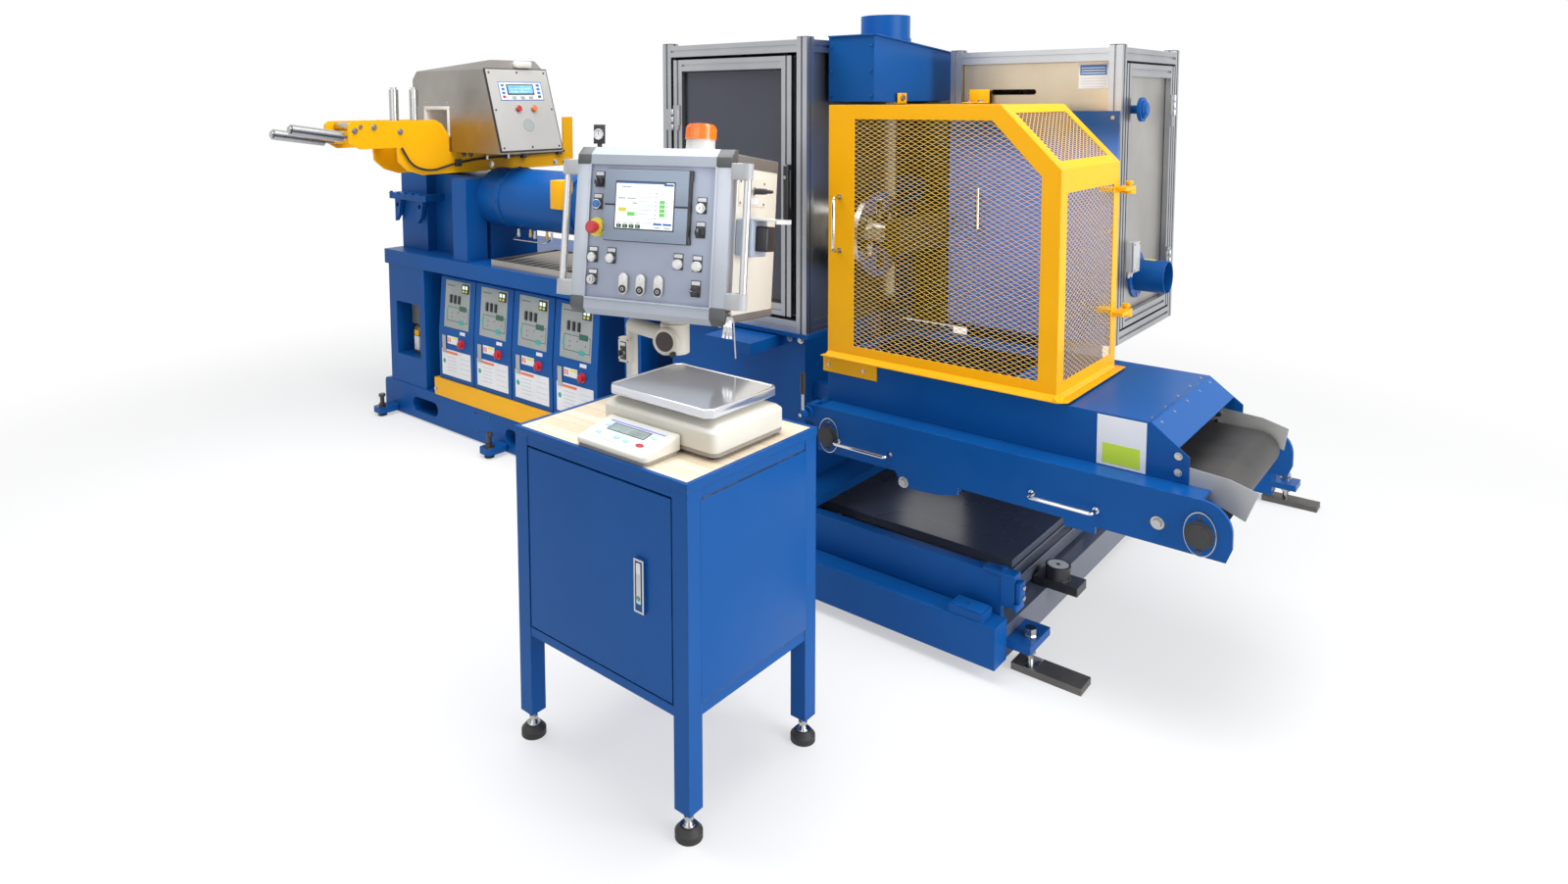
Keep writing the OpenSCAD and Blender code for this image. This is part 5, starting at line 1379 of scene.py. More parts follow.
# ---------------------------------------------------------------- control pendant
# Sheet steel box behind a frame of aluminium profiles with grey plastic corners, on a
# round neck. It leans back and is turned towards the conveyor. Amber lamp on its roof.
lean_back = about("Z", 16) @ about("X", -7.5)
pendant = Matrix.Translation(joints["pendant_swivel"]["pos_m"]) @ lean_back
face = pendant @ to_front(0, -0.202, 0)
warm_grey = moulded("warm_grey_band", (0.135, 0.128, 0.122), (0.160, 0.152, 0.145), 0.42)
housing = block((-0.252, -0.157, 0.020), (0.252, 0.186, 0.488), cream, 0.004)
sink(housing, lambda face: face.normal.y > 0.9, 0.030, y=0.003)
shell = [housing]
for z0, z1 in ((0.0, 0.026), (0.456, 0.496)):
    shell.append(block((-0.254, -0.160, z0), (0.254, 0.188, z1), warm_grey, 0.006, 3))
neck = turned(0.035, [(0, 0.040), (0.004, 0.006)], cream, 40)
collar = turned(0.043, [(0, 0.010), (0.003, 0.004)], cream, 40)
swivel_x, swivel_y, hub_z = joints["pendant_swivel"]["pos_m"]
neck_at = shift(swivel_x, swivel_y, 1.0535)
shell = move(shell, pendant) + set_down(neck_at, neck, collar)
back_screws = repeat(socket_screw(0.010, ground), [pendant @ to_rear(x, 0.189, z)
    for x in (-0.205, 0.205) for z in (0.060, 0.250, 0.440)])
shell += back_screws
pendant_shell = assemble("pendant_shell", "pendant", shell)
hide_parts("pendant_box")

# amber lamp: ribbed cap on a white foot
amber = glowing("amber_lens", (0.88, 0.16, 0.004), (0.95, 0.24, 0.008), 14, 0.12, 0.12, 0.4)
lamp_at = pendant @ shift(0.060, 0, 0.4955)
lamp_foot = turned(0.051, [(0, 0.018), (0.004, 0.010), (0.001, 0.024)], white_plastic, 48)
lamp_cap = turned(0.0475, [(0, 0.036), (0.0015, 0.006), (0.005, 0.005), (0.010, 0.002)], amber, 72)


def on_rib(face):
    """Every other column of the cap's wall, which has one column each five degrees."""
    centre = face.calc_center_median()
    column = round(math.degrees(math.atan2(centre.y, centre.x)) / 5)
    return abs(face.normal.z) < 0.3 and centre.z < 0.035 and column % 2 == 0


choose(lamp_cap, "FACE", on_rib)
bpy.ops.mesh.extrude_region_shrink_fatten(TRANSFORM_OT_shrink_fatten={"value": 0.0016})
done()
lamp_band = turned(0.0495, [(0, 0.004), (0.001, 0.001)], amber, 48)
lamp_parts = set_down(lamp_at, lamp_foot) + set_down(lamp_at @ shift(z=0.053), lamp_cap)
lamp_parts += set_down(lamp_at @ shift(z=0.052), lamp_band)
assemble("amber_lamp", "pendant", lamp_parts, angle=30)

# ---------------------------------------------------------------- pendant front
# Profile frame with chamfered rails and plastic corners round a recessed plate; the
# grab rails are tubes held by clamp blocks at both sides.
# painted shade: the chamfered top and foot rails wear a darker, duller copy of the stile aluminium
# so that the overhead light does not turn them white
painted_shade_rail_alu = bright("painted_shade_rail_profile", (0.38, 0.42, 0.48), (0.44, 0.48, 0.55), 0.50, (2, 60, 60), 0.12,
    metallic=0.15)
stile_alu = bright("stile_profile", (0.45, 0.49, 0.55), (0.52, 0.55, 0.61), 0.32, (60, 60, 2), 0.12,
    metallic=0.45)
plate_alu = bright("face_plate", (0.33, 0.37, 0.47), (0.38, 0.42, 0.52), 0.42, (40, 40, 2), 0.10,
    metallic=0.30)
rail_alu = bright("grab_rail", (0.50, 0.50, 0.51), (0.58, 0.58, 0.58), 0.22, (40, 40, 2), 0.15,
    metallic=0.85)
clamp_grey = moulded("clamp_grey", (0.40, 0.41, 0.42), (0.46, 0.47, 0.48), 0.34)

top_rail = bevel(block((-0.212, 0.452, -0.046), (0.212, 0.506, 0), painted_shade_rail_alu, 0), 0.024,
    lambda e: at(e, 1, 0.506) and at(e, 2, 0))
foot_rail = bevel(block((-0.212, -0.006, -0.046), (0.212, 0.048, 0.001), painted_shade_rail_alu, 0), 0.020,
    lambda e: at(e, 1, -0.006) and at(e, 2, 0.001))
front = [top_rail, foot_rail]
front.append(tile(-0.2116, 0.041, 0.2116, 0.0475, 0.004, painted_shade_rail_alu, 0.0, 0.0025))
for x0, x1 in ((-0.260, -0.2105), (0.2105, 0.260)):
    upper = bevel(block((x0, 0.4515, -0.046), (x1, 0.506, 0.001), grey_plastic, 0), 0.025,
        lambda e: at(e, 1, 0.506) and at(e, 2, 0.001))
    lower = bevel(block((x0, -0.006, -0.046), (x1, 0.0485, 0.002), grey_plastic, 0), 0.021,
        lambda e: at(e, 1, -0.006) and at(e, 2, 0.002))
    for part in (upper, lower):
        ease(part, 0.003, 2)
        front.append(part)
    front.append(block((x0, 0.047, -0.046), (x1, 0.453, -0.001), stile_alu, 0.002))
    inner = (x1 - 0.006, x1 + 0.001) if x0 < 0 else (x0 - 0.001, x0 + 0.006)
    front.append(block((inner[0], 0.047, -0.004), (inner[1], 0.453, 0.0012), stile_alu, 0.001))
front.append(block((-0.211, 0.046, -0.045), (0.211, 0.453, -0.006), plate_alu, 0.0005))
for side in (-1, 1):
    tube = turned(0.0110, [(0, 0.384), (0.001, 0.0005)], rail_alu, 32)
    front += set_down(seat((side * 0.304, 0.065, -0.020), (0, 1, 0), (0, 0, -1)), tube)
    for y in (0.050, 0.422):
        x0, x1 = sorted((side * 0.258, side * 0.300))
        wide = block((x0, y - 0.004, -0.037), (x1, y + 0.044, 0.002), clamp_grey, 0.004, 3)
        grip = turned(0.0195, [(0, 0.046), (0.002, 0.001)], clamp_grey, 40)
        front.append(wide)
        front += set_down(seat((side * 0.300, y - 0.003, -0.0175), (0, 1, 0), (0, 0, -1)), grip)
pendant_front = assemble("pendant_front", "pendant", front, face, angle=30)
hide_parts("pendant_face")

# ---------------------------------------------------------------- operator panel
# Touch panel in a two-part bezel, with a plain generic page of fields and keys on it.
screen_white = glowing("lit_screen", (0.80, 0.86, 0.90), (0.90, 0.94, 0.95), 9, 0.30, 0.12)
screen_green = moulded("screen_green", (0.16, 0.66, 0.10), (0.20, 0.74, 0.14), 0.20)
screen_grey = moulded("screen_grey", (0.42, 0.45, 0.47), (0.50, 0.53, 0.55), 0.20)
bezel_blue = bright("bezel_blue", (0.245, 0.300, 0.385), (0.275, 0.330, 0.415), 0.36, (30, 30, 2),
    0.06, metallic=0.30)
plate_z = -0.006        # the recessed plate, measured from the face of the frame
bezel = [block((-0.152, 0.222, plate_z), (0.141, 0.440, 0.009), dark_plastic, 0.004, 3),
    block((-0.150, 0.3335, 0.006), (0.131, 0.438, 0.0125), bezel_blue, 0.002),
    block((-0.150, 0.224, 0.006), (0.131, 0.3285, 0.0125), bezel_blue, 0.002)]
choose(bezel[0], "EDGE", lambda e: at(e, 0, 0.141, 0.006)
    and abs(e.verts[0].co.y - e.verts[1].co.y) > 0.1)
bpy.ops.mesh.subdivide(number_cuts=9)
done()
slide(bezel[0], "FACE", lambda face: face.normal.x > 0.7
    and 0.245 < face.calc_center_median().y < 0.395, x=-0.004)
bezel.append(block((-0.113, 0.258, 0.004), (0.090, 0.404, 0.0135), dark_plastic, 0.0015))
glass, pitch = 0.0135, 0.0125       # face of the glass, pitch of the rows on it


def field(x0, y0, x1, y1, material, lift=0.0):
    """A thin mark on the lit page."""
    return tile(x0, y0, x1, y1, 0.0003, material, glass + 0.0005 + lift, 0)


page = [tile(-0.109, 0.262, 0.086, 0.400, 0.0005, screen_white, glass, 0.0001),
    field(-0.109, 0.396, 0.060, 0.400, blue_plastic),
    field(0.052, 0.391, 0.084, 0.397, blue_plastic, 0.0003)]
for x0, x1, y in ((-0.090, -0.058, 0.384), (-0.100, -0.076, 0.350), (-0.070, -0.040, 0.350),
        (-0.052, -0.036, 0.336)):
    page.append(field(x0, y, x1, y + 0.004, screen_grey))
for down in (row * pitch for row in range(8)):
    page += [field(-0.030, 0.368 - down, 0.018, 0.3692 - down, screen_grey),
        field(0.024, 0.367 - down, 0.030, 0.3702 - down, screen_grey)]
for x in (0.030, 0.053):
    page += border(x, 0.360, x + 0.018, 0.3698, 0.0008, 0.0003, screen_grey, glass + 0.0005, 0)
for down in (row * pitch for row in range(4)):
    page += [field(0.040, 0.338 - down, 0.058, 0.348 - down, screen_green),
        field(0.062, 0.341 - down, 0.068, 0.344 - down, screen_grey)]
page += [field(-0.098, 0.312, -0.072, 0.324, yellow_print),
    field(-0.068, 0.300, -0.042, 0.311, screen_green)]
for x in (-0.103, -0.0815, -0.060, -0.0385):
    page += [field(x, 0.2635, x + 0.0165, 0.274, dark_plastic),
        field(x + 0.005, 0.2665, x + 0.0095, 0.271, screen_green, 0.0003),
        field(x + 0.001, 0.277, x + 0.0145, 0.2795, screen_grey)]
for x in (0.022, 0.054):
    page += [field(x, 0.275, x + 0.028, 0.281, blue_plastic),
        field(x + 0.004, 0.266, x + 0.024, 0.2695, screen_grey)]
page.append(tile(-0.004, 0.2295, 0.004, 0.2305, 0.0004, dark_plastic, 0.0125, 0))
assemble("operator_panel", "pendant", bezel + page, face)

# ---------------------------------------------------------------- push buttons
# Round 22 mm operators in black label holders with bare white tags: push buttons,
# selector knobs, key switches, three oval twin buttons and the emergency stop.


def holder(x, y):
    """Black label holder with its white tag above the button."""
    plate = block((-0.0155, -0.0165, 0), (0.0155, 0.0315, 0.0028), dark_plastic, 0.0010)
    tag = tile(-0.0135, 0.0185, 0.0135, 0.0295, 0.0010, label_white, 0.0024)
    return move([plate, tag], shift(x, y, plate_z))


def push_button(x, y, ring, cap):
    ring_part = turned(0.0146, [(0, 0.011), (0.0012, 0.0014), (0.0016, -0.0010)], ring, 32)
    cap_part = turned(0.0118, [(0, 0.015), (0.0012, 0.0012), (0.002, 0.0004)], cap, 32)
    return holder(x, y) + set_down(shift(x, y, plate_z + 0.002), ring_part, cap_part)


def selector(x, y, ring, turn):
    """Knob with a raised finger grip and a white pointer line."""
    ring_part = turned(0.0146, [(0, 0.010), (0.0014, 0.0014), (0.002, -0.0008)], ring, 32)
    knob_part = turned(0.0118, [(0, 0.012), (0.001, 0.001)], dark_plastic, 32)
    grip = block((-0.0038, -0.0118, 0.010), (0.0038, 0.0118, 0.023), dark_plastic, 0.0015)
    line = tile(-0.0008, 0.003, 0.0008, 0.0112, 0.0006, label_white, 0.0228, 0.0001)
    place = shift(x, y, plate_z + 0.002)
    spun = place @ about("Z", turn)
    return holder(x, y) + set_down(place, ring_part, knob_part) + set_down(spun, grip, line)


def key_switch(x, y):
    ring_part = turned(0.0146, [(0, 0.011), (0.0014, 0.0014), (0.0022, -0.0012)], ground, 32)
    core = turned(0.0098, [(0, 0.014), (0.001, 0.001)], ground, 32)
    slot_part = block((-0.0012, -0.0050, 0.0146), (0.0012, 0.0050, 0.0153), black, 0.0002)
    place = shift(x, y, plate_z + 0.002)
    return holder(x, y) + set_down(place, ring_part, core, slot_part)


def twin_button(x, y):
    """Oval rim with a white head above and a black one below."""
    made = []
    for size, low_z, high_z, material in ((0.0160, 0.0, 0.008, ground),
            (0.0142, 0.002, 0.0095, white_plastic)):
        body = turned(size, [(0, high_z - low_z), (0.0012, 0.0010)], material, 32)
        for vertex in body.data.vertices:
            vertex.co.y += 0.0165 if vertex.co.y > 1e-5 else -0.0165
        body.data.transform(shift(x, y, plate_z + low_z))
        made.append(body)
    upper = turned(0.0118, [(0, 0.013), (0.0012, 0.001)], white_plastic, 32)
    lower = turned(0.0122, [(0, 0.0125), (0.0012, 0.001)], dark_plastic, 32)
    eye = turned(0.0050, [(0, 0.0004)], label_white, 20)
    pupil = turned(0.0036, [(0, 0.0006)], dark_plastic, 20)
    made += set_down(shift(x, y + 0.0160, plate_z), upper)
    made += set_down(shift(x, y - 0.0160, plate_z), lower)
    made += set_down(shift(x, y - 0.0160, plate_z + 0.0135), eye, pupil)
    made.append(tile(x - 0.0006, y + 0.012, x + 0.0006, y + 0.020, 0.0004, screen_grey,
        plate_z + 0.014, 0.0001))
    return made


controls = selector(-0.179, 0.399, dark_plastic, 12)
controls += push_button(-0.182, 0.331, ground, blue_plastic)
for x, y in ((-0.189, 0.169), (-0.125, 0.169), (0.102, 0.165), (0.164, 0.163)):
    controls += push_button(x, y, ground if x < 0 else white_plastic, white_plastic)
for x, y in ((-0.187, 0.101), (0.170, 0.332)):
    controls += key_switch(x, y)
controls += selector(0.169, 0.261, dark_plastic, 0) + selector(0.163, 0.090, dark_plastic, 70)
for x in (-0.076, -0.017, 0.043):
    controls += twin_button(x, 0.096)
collar_yellow = turned(0.0290, [(0, 0.006), (0.004, 0.006), (0.006, 0.002)], yellow_print, 40)
stem_red = turned(0.0140, [(0, 0.026)], red_plastic, 32)
mushroom = turned(0.0195, [(0, 0.008), (0.002, 0.003), (0.004, 0.002)], red_plastic, 40)
stop_at = shift(-0.180, 0.260, plate_z)
controls += set_down(stop_at, collar_yellow) + set_down(stop_at @ shift(z=0.012), stem_red)
controls += set_down(stop_at @ shift(z=0.032), mushroom)
assemble("push_buttons", "pendant", controls, face)

# ---------------------------------------------------------------- pendant side
# On the right side a service plate with a plugged-in data lead, and a weatherproof
# wall socket with its flap up over a black adaptor; both leads end at their plugs.
side_face = pendant @ to_right(0.252, -0.157, 0)
socket_blue = moulded("socket_grey_blue", (0.36, 0.42, 0.52), (0.42, 0.48, 0.58), 0.32)
outlet = tiles(
    (0.030, 0.345, 0.235, 0.428, 0.0020, cream, 0.0, 0.0008),
    (0.070, 0.352, 0.180, 0.372, 0.0012, label_white, 0.002))
outlet += repeat(rivet(0.008, black),
    spots(((0.226, 0.418), (0.226, 0.354), (0.040, 0.418), (0.040, 0.354)), 0.002))
plug = turned(0.0095, [(0, 0.034), (0.001, 0.008), (0.0025, 0.014), (0.0015, 0.006)], dark_plastic,
    24)
shroud = turned(0.0125, [(0, 0.006), (0.002, 0.001)], ground, 24)
outlet += set_down(shift(0.138, 0.392, 0.004), plug) + set_down(shift(0.138, 0.392, 0.001), shroud)
box_part = block((0.020, 0.200, 0), (0.132, 0.308, 0.040), socket_blue, 0.006, 3)
sink(box_part, lambda face: face.normal.z > 0.95, 0.006, z=-0.006)
rim_part = block((0.016, 0.196, 0.036), (0.136, 0.312, 0.041), socket_blue, 0.002)
gasket_part = block((0.019, 0.199, 0.0395), (0.133, 0.309, 0.043), rubber, 0.001)
front_part = block((0.017, 0.197, 0.042), (0.135, 0.311, 0.056), socket_blue, 0.006, 3)
adaptor = block((0.040, 0.214, 0.052), (0.108, 0.288, 0.094), dark_plastic, 0.007, 3)
flap = block((0.018, 0.304, 0.050), (0.134, 0.311, 0.132), white_plastic, 0.003, 2)
flap_lip = block((0.018, 0.296, 0.124), (0.134, 0.311, 0.132), white_plastic, 0.003, 2)
outlet += [box_part, rim_part, gasket_part, front_part, adaptor, flap, flap_lip]
assemble("side_sockets", "pendant", outlet, side_face)

# key ring with three keys and a hexagon key, hanging at the lower right clamp
ring_part = bent_rod([(0.0, 0.006, 0), (0.010, 0.006, 0), (0.010, -0.016, 0), (-0.010, -0.016, 0),
    (-0.010, 0.006, 0), (0.0, 0.006, 0)], 0.0010, 0.008, polished)
blades = []
for k, tilt in enumerate((-7, 0, 6)):
    key = block((-0.0045, -0.066, -0.001), (0.0045, -0.014, 0.001), polished, 0.0005)
    bow = turned(0.0105, [(0, 0.0018)], polished, 20)
    notch = block((0.0025, -0.058, -0.0014), (0.0050, -0.040, 0.0014), ground, 0.0004)
    hung = about("Z", tilt) @ shift(k * 0.006 - 0.006, 0, k * 0.0030)
    blades += move([key, notch], hung) + set_down(hung @ shift(0, -0.014, -0.001), bow)
rod_key = bent_rod([(0.010, -0.006, -0.004), (0.014, -0.016, -0.004), (0.026, -0.120, -0.004)],
    0.0022, 0.006, ground)
key_hook = bent_rod([(0, 0.018, -0.010), (0, 0.010, -0.002), (0, 0.004, 0)], 0.0012, 0.004,
    polished)
assemble("key_ring", "pendant", [ring_part, rod_key, key_hook] + blades,
    face @ shift(0.268, 0.030, -0.012))

# ---------------------------------------------------------------- pedestal fittings
# Swivel flange with a dark core and a locking knob at the end of the arm, a switch
# box on the column, and anchor bolts in the foot plate.
pedestal_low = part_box("pendant_pedestal")[0]
column_x, column_y = pedestal_low.x + 0.110, -0.941
hub_seat = seat((swivel_x + 0.008, swivel_y - 0.044, hub_z - 0.078), (0.25, -1, 0), (0, 0, 1))
flange = turned(0.043, [(0, 0.016), (0.003, 0.002)], cream, 48)
core_dark = moulded("core_brown", (0.040, 0.030, 0.030), (0.055, 0.042, 0.040), 0.5)
core = turned(0.0315, [(0, 0.0010), (0.001, 0.0004)], core_dark, 48)
small_knob = turned(0.0085, [(0, 0.004), (0, 0.010), (0.002, 0.002)], dark_plastic, 20)
pedestal_parts = set_down(hub_seat, flange) + set_down(hub_seat @ shift(z=0.0175), core)
pedestal_parts += set_down(hub_seat @ shift(0.030, -0.036, 0.012), small_knob)
switch_seat = to_front(column_x, column_y - 0.019, 0.926)
switch_parts = [block((-0.024, -0.040, -0.004), (0.024, 0.042, 0.022), cream, 0.002),
    block((-0.014, -0.030, 0.020), (0.014, 0.030, 0.024), dark_plastic, 0.001),
    tile(-0.0115, 0.016, 0.0115, 0.027, 0.001, label_white, 0.0238)]
switch_parts += set_down(shift(0, -0.006, 0.023),
    turned(0.0125, [(0, 0.010), (0.001, 0.001)], ground, 28),
    turned(0.0100, [(0, 0.014), (0.001, 0.001)], dark_plastic, 28))
switch_parts.append(block((-0.003, -0.016, 0.032), (0.003, 0.004, 0.043), dark_plastic, 0.001))
switch_parts += repeat(rivet(0.005, black), grid((-0.020, 0.020), (-0.035, 0.037), 0.022))
move(switch_parts, switch_seat)
anchors = repeat(bolt(0.019, ground), [shift(column_x + x, column_y + y, 0.010)
    for x in (-0.085, 0.085) for y in (-0.085, 0.085)])
assemble("pedestal_fittings", "machine", pedestal_parts + switch_parts + anchors)

# ---------------------------------------------------------------- weigh cabinet
# Folded sheet cabinet: lifted side panels with a shadow gap, a flush lever lock on
# the door, and chromed studs with nuts above the rubber levelling feet.
cabinet_low, cabinet_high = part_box("weigh_cabinet")
side_w, side_h, side_foot = 0.424, 0.494, 0.330
side_y = cabinet_low.y + 0.046
panels = []
for origin, out, width in (
        ((cabinet_high.x - 0.004, side_y, side_foot), (1, 0, 0), side_w),
        ((cabinet_low.x + 0.004, side_y + side_w, side_foot), (-1, 0, 0), side_w),
        ((cabinet_high.x - 0.050, cabinet_high.y - 0.004, side_foot), (0, 1, 0), 0.534)):
    # painted shade: a black sheet just larger than each panel stands for the shade in the gap round
    # it
    gap = tile(-0.003, -0.003, width + 0.003, side_h + 0.003, 0.0006, black, -0.0002, 0)
    skin_plate = block((0, 0, 0), (width, side_h, 0.0026), blue, 0.0011, 3)
    panels += move([gap, skin_plate], seat(origin, out, (0, 0, 1)))
assemble("cabinet_panels", "machine", panels)
door_lock = to_front(1.134, -1.5880, 0.520)
lock_plate = block((-0.001, -0.001, -0.001), (0.033, 0.133, 0.0010), ground, 0.0006)
sink(lock_plate, lambda face: face.normal.z > 0.95 and face.calc_area() > 0.002, 0.0045, z=-0.0012)
lock_parts = [lock_plate,
    block((0.0085, 0.022, -0.0008), (0.0235, 0.106, 0.0022), ground, 0.0014, 3),
    tile(0.010, 0.006, 0.022, 0.0075, 0.0006, dark_plastic, -0.0001, 0)]
lever_head = block((0.0085, 0.096, 0.0), (0.0235, 0.124, 0.0026), polished, 0.0012, 3)
choose(lever_head, "FACE", lambda part: part.normal.y > 0.9)
bpy.ops.transform.resize(value=(0.55, 1, 1))
done()
lock_parts.append(lever_head)
cylinder = turned(0.0062, [(0, 0.0012), (0.0010, 0.0004)], ground, 24)
keyway = turned(0.0048, [(0, 0.0006), (0.0010, -0.0002)], teal_print, 24)
lock_parts += set_down(shift(0.016, 0.036, 0.0010), cylinder)
lock_parts += set_down(shift(0.016, 0.036, 0.0023), keyway)
assemble("door_lock", "cabinet_door", lock_parts, door_lock)
feet_places = [shift(x, y) for x in (cabinet_low.x + 0.026, cabinet_high.x - 0.026)
    for y in (cabinet_low.y + 0.026, cabinet_high.y - 0.026)]
stud = turned(0.0075, [(0, 0.038)], polished, 24)
foot_washer = turned(0.0190, [(0, 0.003), (0.003, 0.0015), (0.005, 0.004), (0.001, 0.001)],
    polished, 32)
foot_nut = turned(0.0125, [(0, 0.008), (0.001, 0.001)], ground, 6)
assemble("foot_studs", "machine",
    [part for model, z in ((stud, 0.0315), (foot_washer, 0.0302), (foot_nut, 0.0445))
        for part in repeat(model, [foot @ shift(z=z) for foot in feet_places])])

# ---------------------------------------------------------------- bench scale
# Cream moulded body with sloping shoulders on a grey base line and four rubber feet;
# a mirror-bright platter with clipped corners stands on it.
body_low, body_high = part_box("scale_body")
base_grey = moulded("scale_base_grey", (0.30, 0.27, 0.24), (0.35, 0.32, 0.29), 0.42)


def moulding(low, high, corner_radius, material):
    """A moulded box standing upright with its four upright corners rounded."""
    return bevel(block(low, high, material, 0), corner_radius, rises, 6)


upper = moulding((body_low.x, body_low.y, 0.8935), (body_high.x, body_high.y, 0.9430), 0.022,
    cream_plastic)
for draw_x, draw_y, rise in ((0.955, 0.935, 0.0085), (0.880, 0.840, 0.0095),
        (0.940, 0.920, 0.0060)):
    choose(upper, "FACE", lambda part: part.normal.z > 0.99)
    extrude(0, 0, rise)
    bpy.ops.transform.resize(value=(draw_x, draw_y, 1))
    done()
ease(upper, 0.003, 3)
base_line = moulding((body_low.x + 0.001, body_low.y + 0.001, 0.8840),
    (body_high.x - 0.001, body_high.y - 0.001, 0.8938), 0.022, base_grey)
post = turned(0.040, [(0, 0.0085), (0.004, 0.002)], cream_plastic, 40)
body_mid = (body_low + body_high) / 2
parts = [upper, base_line] + set_down(shift(body_mid.x, body_mid.y, 0.9655), post)
rubber_foot = turned(0.0165, [(0, 0.0105)], rubber, 32, soft=0.0020)
parts += repeat(rubber_foot, grid((body_low.x + 0.030, body_high.x - 0.030),
    (body_low.y + 0.030, body_high.y - 0.030), body_low.z))
level_eye = set_down(shift(body_low.x + 0.030, body_low.y + 0.024, 0.9500),
    turned(0.006, [(0, 0.0008), (0.0012, -0.0004)], green_print, 24))
scale_shell = assemble("scale_housing", "machine", parts + level_eye, angle=32)
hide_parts("scale_body")

tray_low, tray_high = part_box("scale_platter")
mirror = bright("mirror_platter", (0.66, 0.67, 0.70), (0.72, 0.73, 0.76), 0.09, (3, 3, 3), 0.015,
    metallic=0.80, spread=0.06)
tray = bevel(block(tray_low, tray_high, mirror, 0), 0.017, rises)
ease(tray, 0.0035, 4)
choose(tray, "FACE", lambda part: part.normal.z > 0.99)
bpy.ops.mesh.inset(thickness=0.004)
extrude(0, 0, -0.0012)
bpy.ops.transform.resize(value=(0.996, 0.995, 1))
done()
sink(tray, lambda face: face.normal.z < -0.99, 0.0025, z=0.0190)
platter = assemble("mirror_tray", "machine", [tray], angle=30)
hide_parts("scale_platter")

# ---------------------------------------------------------------- scale indicator
# Wedge-shaped cream case with a bull nose, joined to the scale; its sloping front
# carries a pale membrane with a grey display and touch keys.
case_low, case_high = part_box("scale_indicator")
nose_y, nose_drop = case_low.y + 0.002, 0.0265    # front of the case, fall of its top
case = block((case_low.x, nose_y, case_low.z + 0.009), (case_high.x, case_high.y, case_high.z),
    cream_plastic, 0)
slide(case, "EDGE", lambda e: at(e, 1, nose_y) and at(e, 2, case_high.z), z=-nose_drop)
bevel(case, 0.016, lambda e: at(e, 1, nose_y) and rises(e), 5)
bevel(case, 0.006, lambda e: at(e, 1, case_high.y) and rises(e, 0.01), 3)
ease(case, 0.0050, 4)
under = moulding((case_low.x + 0.002, case_low.y + 0.005, case_low.z),
    (case_high.x - 0.002, case_high.y - 0.002, case_low.z + 0.0105), 0.016, base_grey)
join_block = block((case_low.x + 0.050, case_high.y - 0.004, case_low.z + 0.006),
    (case_high.x - 0.050, body_low.y + 0.003, case_low.z + 0.030), cream_plastic, 0.002)
slope = math.atan2(nose_drop, case_high.y - nose_y)
slope_out = Vector((0, -math.sin(slope), math.cos(slope)))
slope_up = Vector((0, math.cos(slope), math.sin(slope)))
membrane = seat((case_low.x, nose_y, case_high.z - nose_drop), slope_out, slope_up)
pale_print = moulded("membrane_pale", (0.60, 0.66, 0.78), (0.66, 0.72, 0.83), 0.30, 500, 0.0001)
sky_print = moulded("key_sky", (0.36, 0.62, 0.84), (0.42, 0.68, 0.88), 0.30, 500, 0.0001)
display_grey, tree, surface = shader("display_grey")
drift = place_group(tree, tone, Colour=(0.24, 0.30, 0.30, 1), Other=(0.32, 0.39, 0.38, 1),
    Scale=24.0)
link(tree, (drift.outputs["Colour"], surface.inputs["Base Color"]))
surface.inputs["Roughness"].default_value = 0.12
violet_print = moulded("violet_print", (0.25, 0.24, 0.58), (0.30, 0.29, 0.64), 0.30, 500, 0.0001)
labels = [tile(0.028, 0.022, 0.226, 0.116, 0.0006, pale_print, 0.0, 0.0003)]
labels += tiles(
    (0.030, 0.102, 0.224, 0.107, 0.0002, violet_print, 0.0006, 0),
    (0.052, 0.064, 0.186, 0.098, 0.0006, dark_plastic, 0.0005, 0.0002),
    (0.055, 0.066, 0.183, 0.0945, 0.0003, display_grey, 0.0011, 0.0001))
key_oval = (1.25, 0.72)
for x, y in ((0.044, 0.044), (0.112, 0.044), (0.148, 0.040), (0.044, 0.082), (0.205, 0.082)):
    dome = turned(0.0085, [(0, 0.0006), (0.0010, 0.0003)], sky_print, 24)
    scale_all(dome, *key_oval)
    labels += set_down(shift(x, y, 0.0005), dome)
red_key = turned(0.0105, [(0, 0.0008), (0.0010, 0.0003)], red_plastic, 28)
scale_all(red_key, *key_oval)
labels += set_down(shift(0.196, 0.040, 0.0005), red_key)
# seven-segment zero reading on the display
for k in range(4):
    x = 0.128 + k * 0.0125
    for sx0, sy0, sx1, sy1 in ((0.001, 0.0, 0.007, 0.0008), (0.001, 0.0128, 0.007, 0.0136),
            (0.0, 0.0008, 0.0008, 0.0064), (0.0, 0.0072, 0.0008, 0.0128),
            (0.0072, 0.0008, 0.008, 0.0064), (0.0072, 0.0072, 0.008, 0.0128)):
        labels.append(tile(x + sx0, 0.072 + sy0, x + sx1, 0.072 + sy1, 0.0002, dark_plastic,
            0.0014, 0))
move(labels, membrane @ shift(z=0.0001))
pads = repeat(turned(0.008, [(0, 0.0015)], rubber, 20),
    grid((case_low.x + 0.025, case_high.x - 0.025), (case_low.y + 0.025, case_high.y - 0.025),
    case_low.z - 0.0002))
indicator = assemble("weigh_indicator", "machine",
    [case, under, join_block] + labels + pads, angle=32)
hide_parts("scale_indicator")

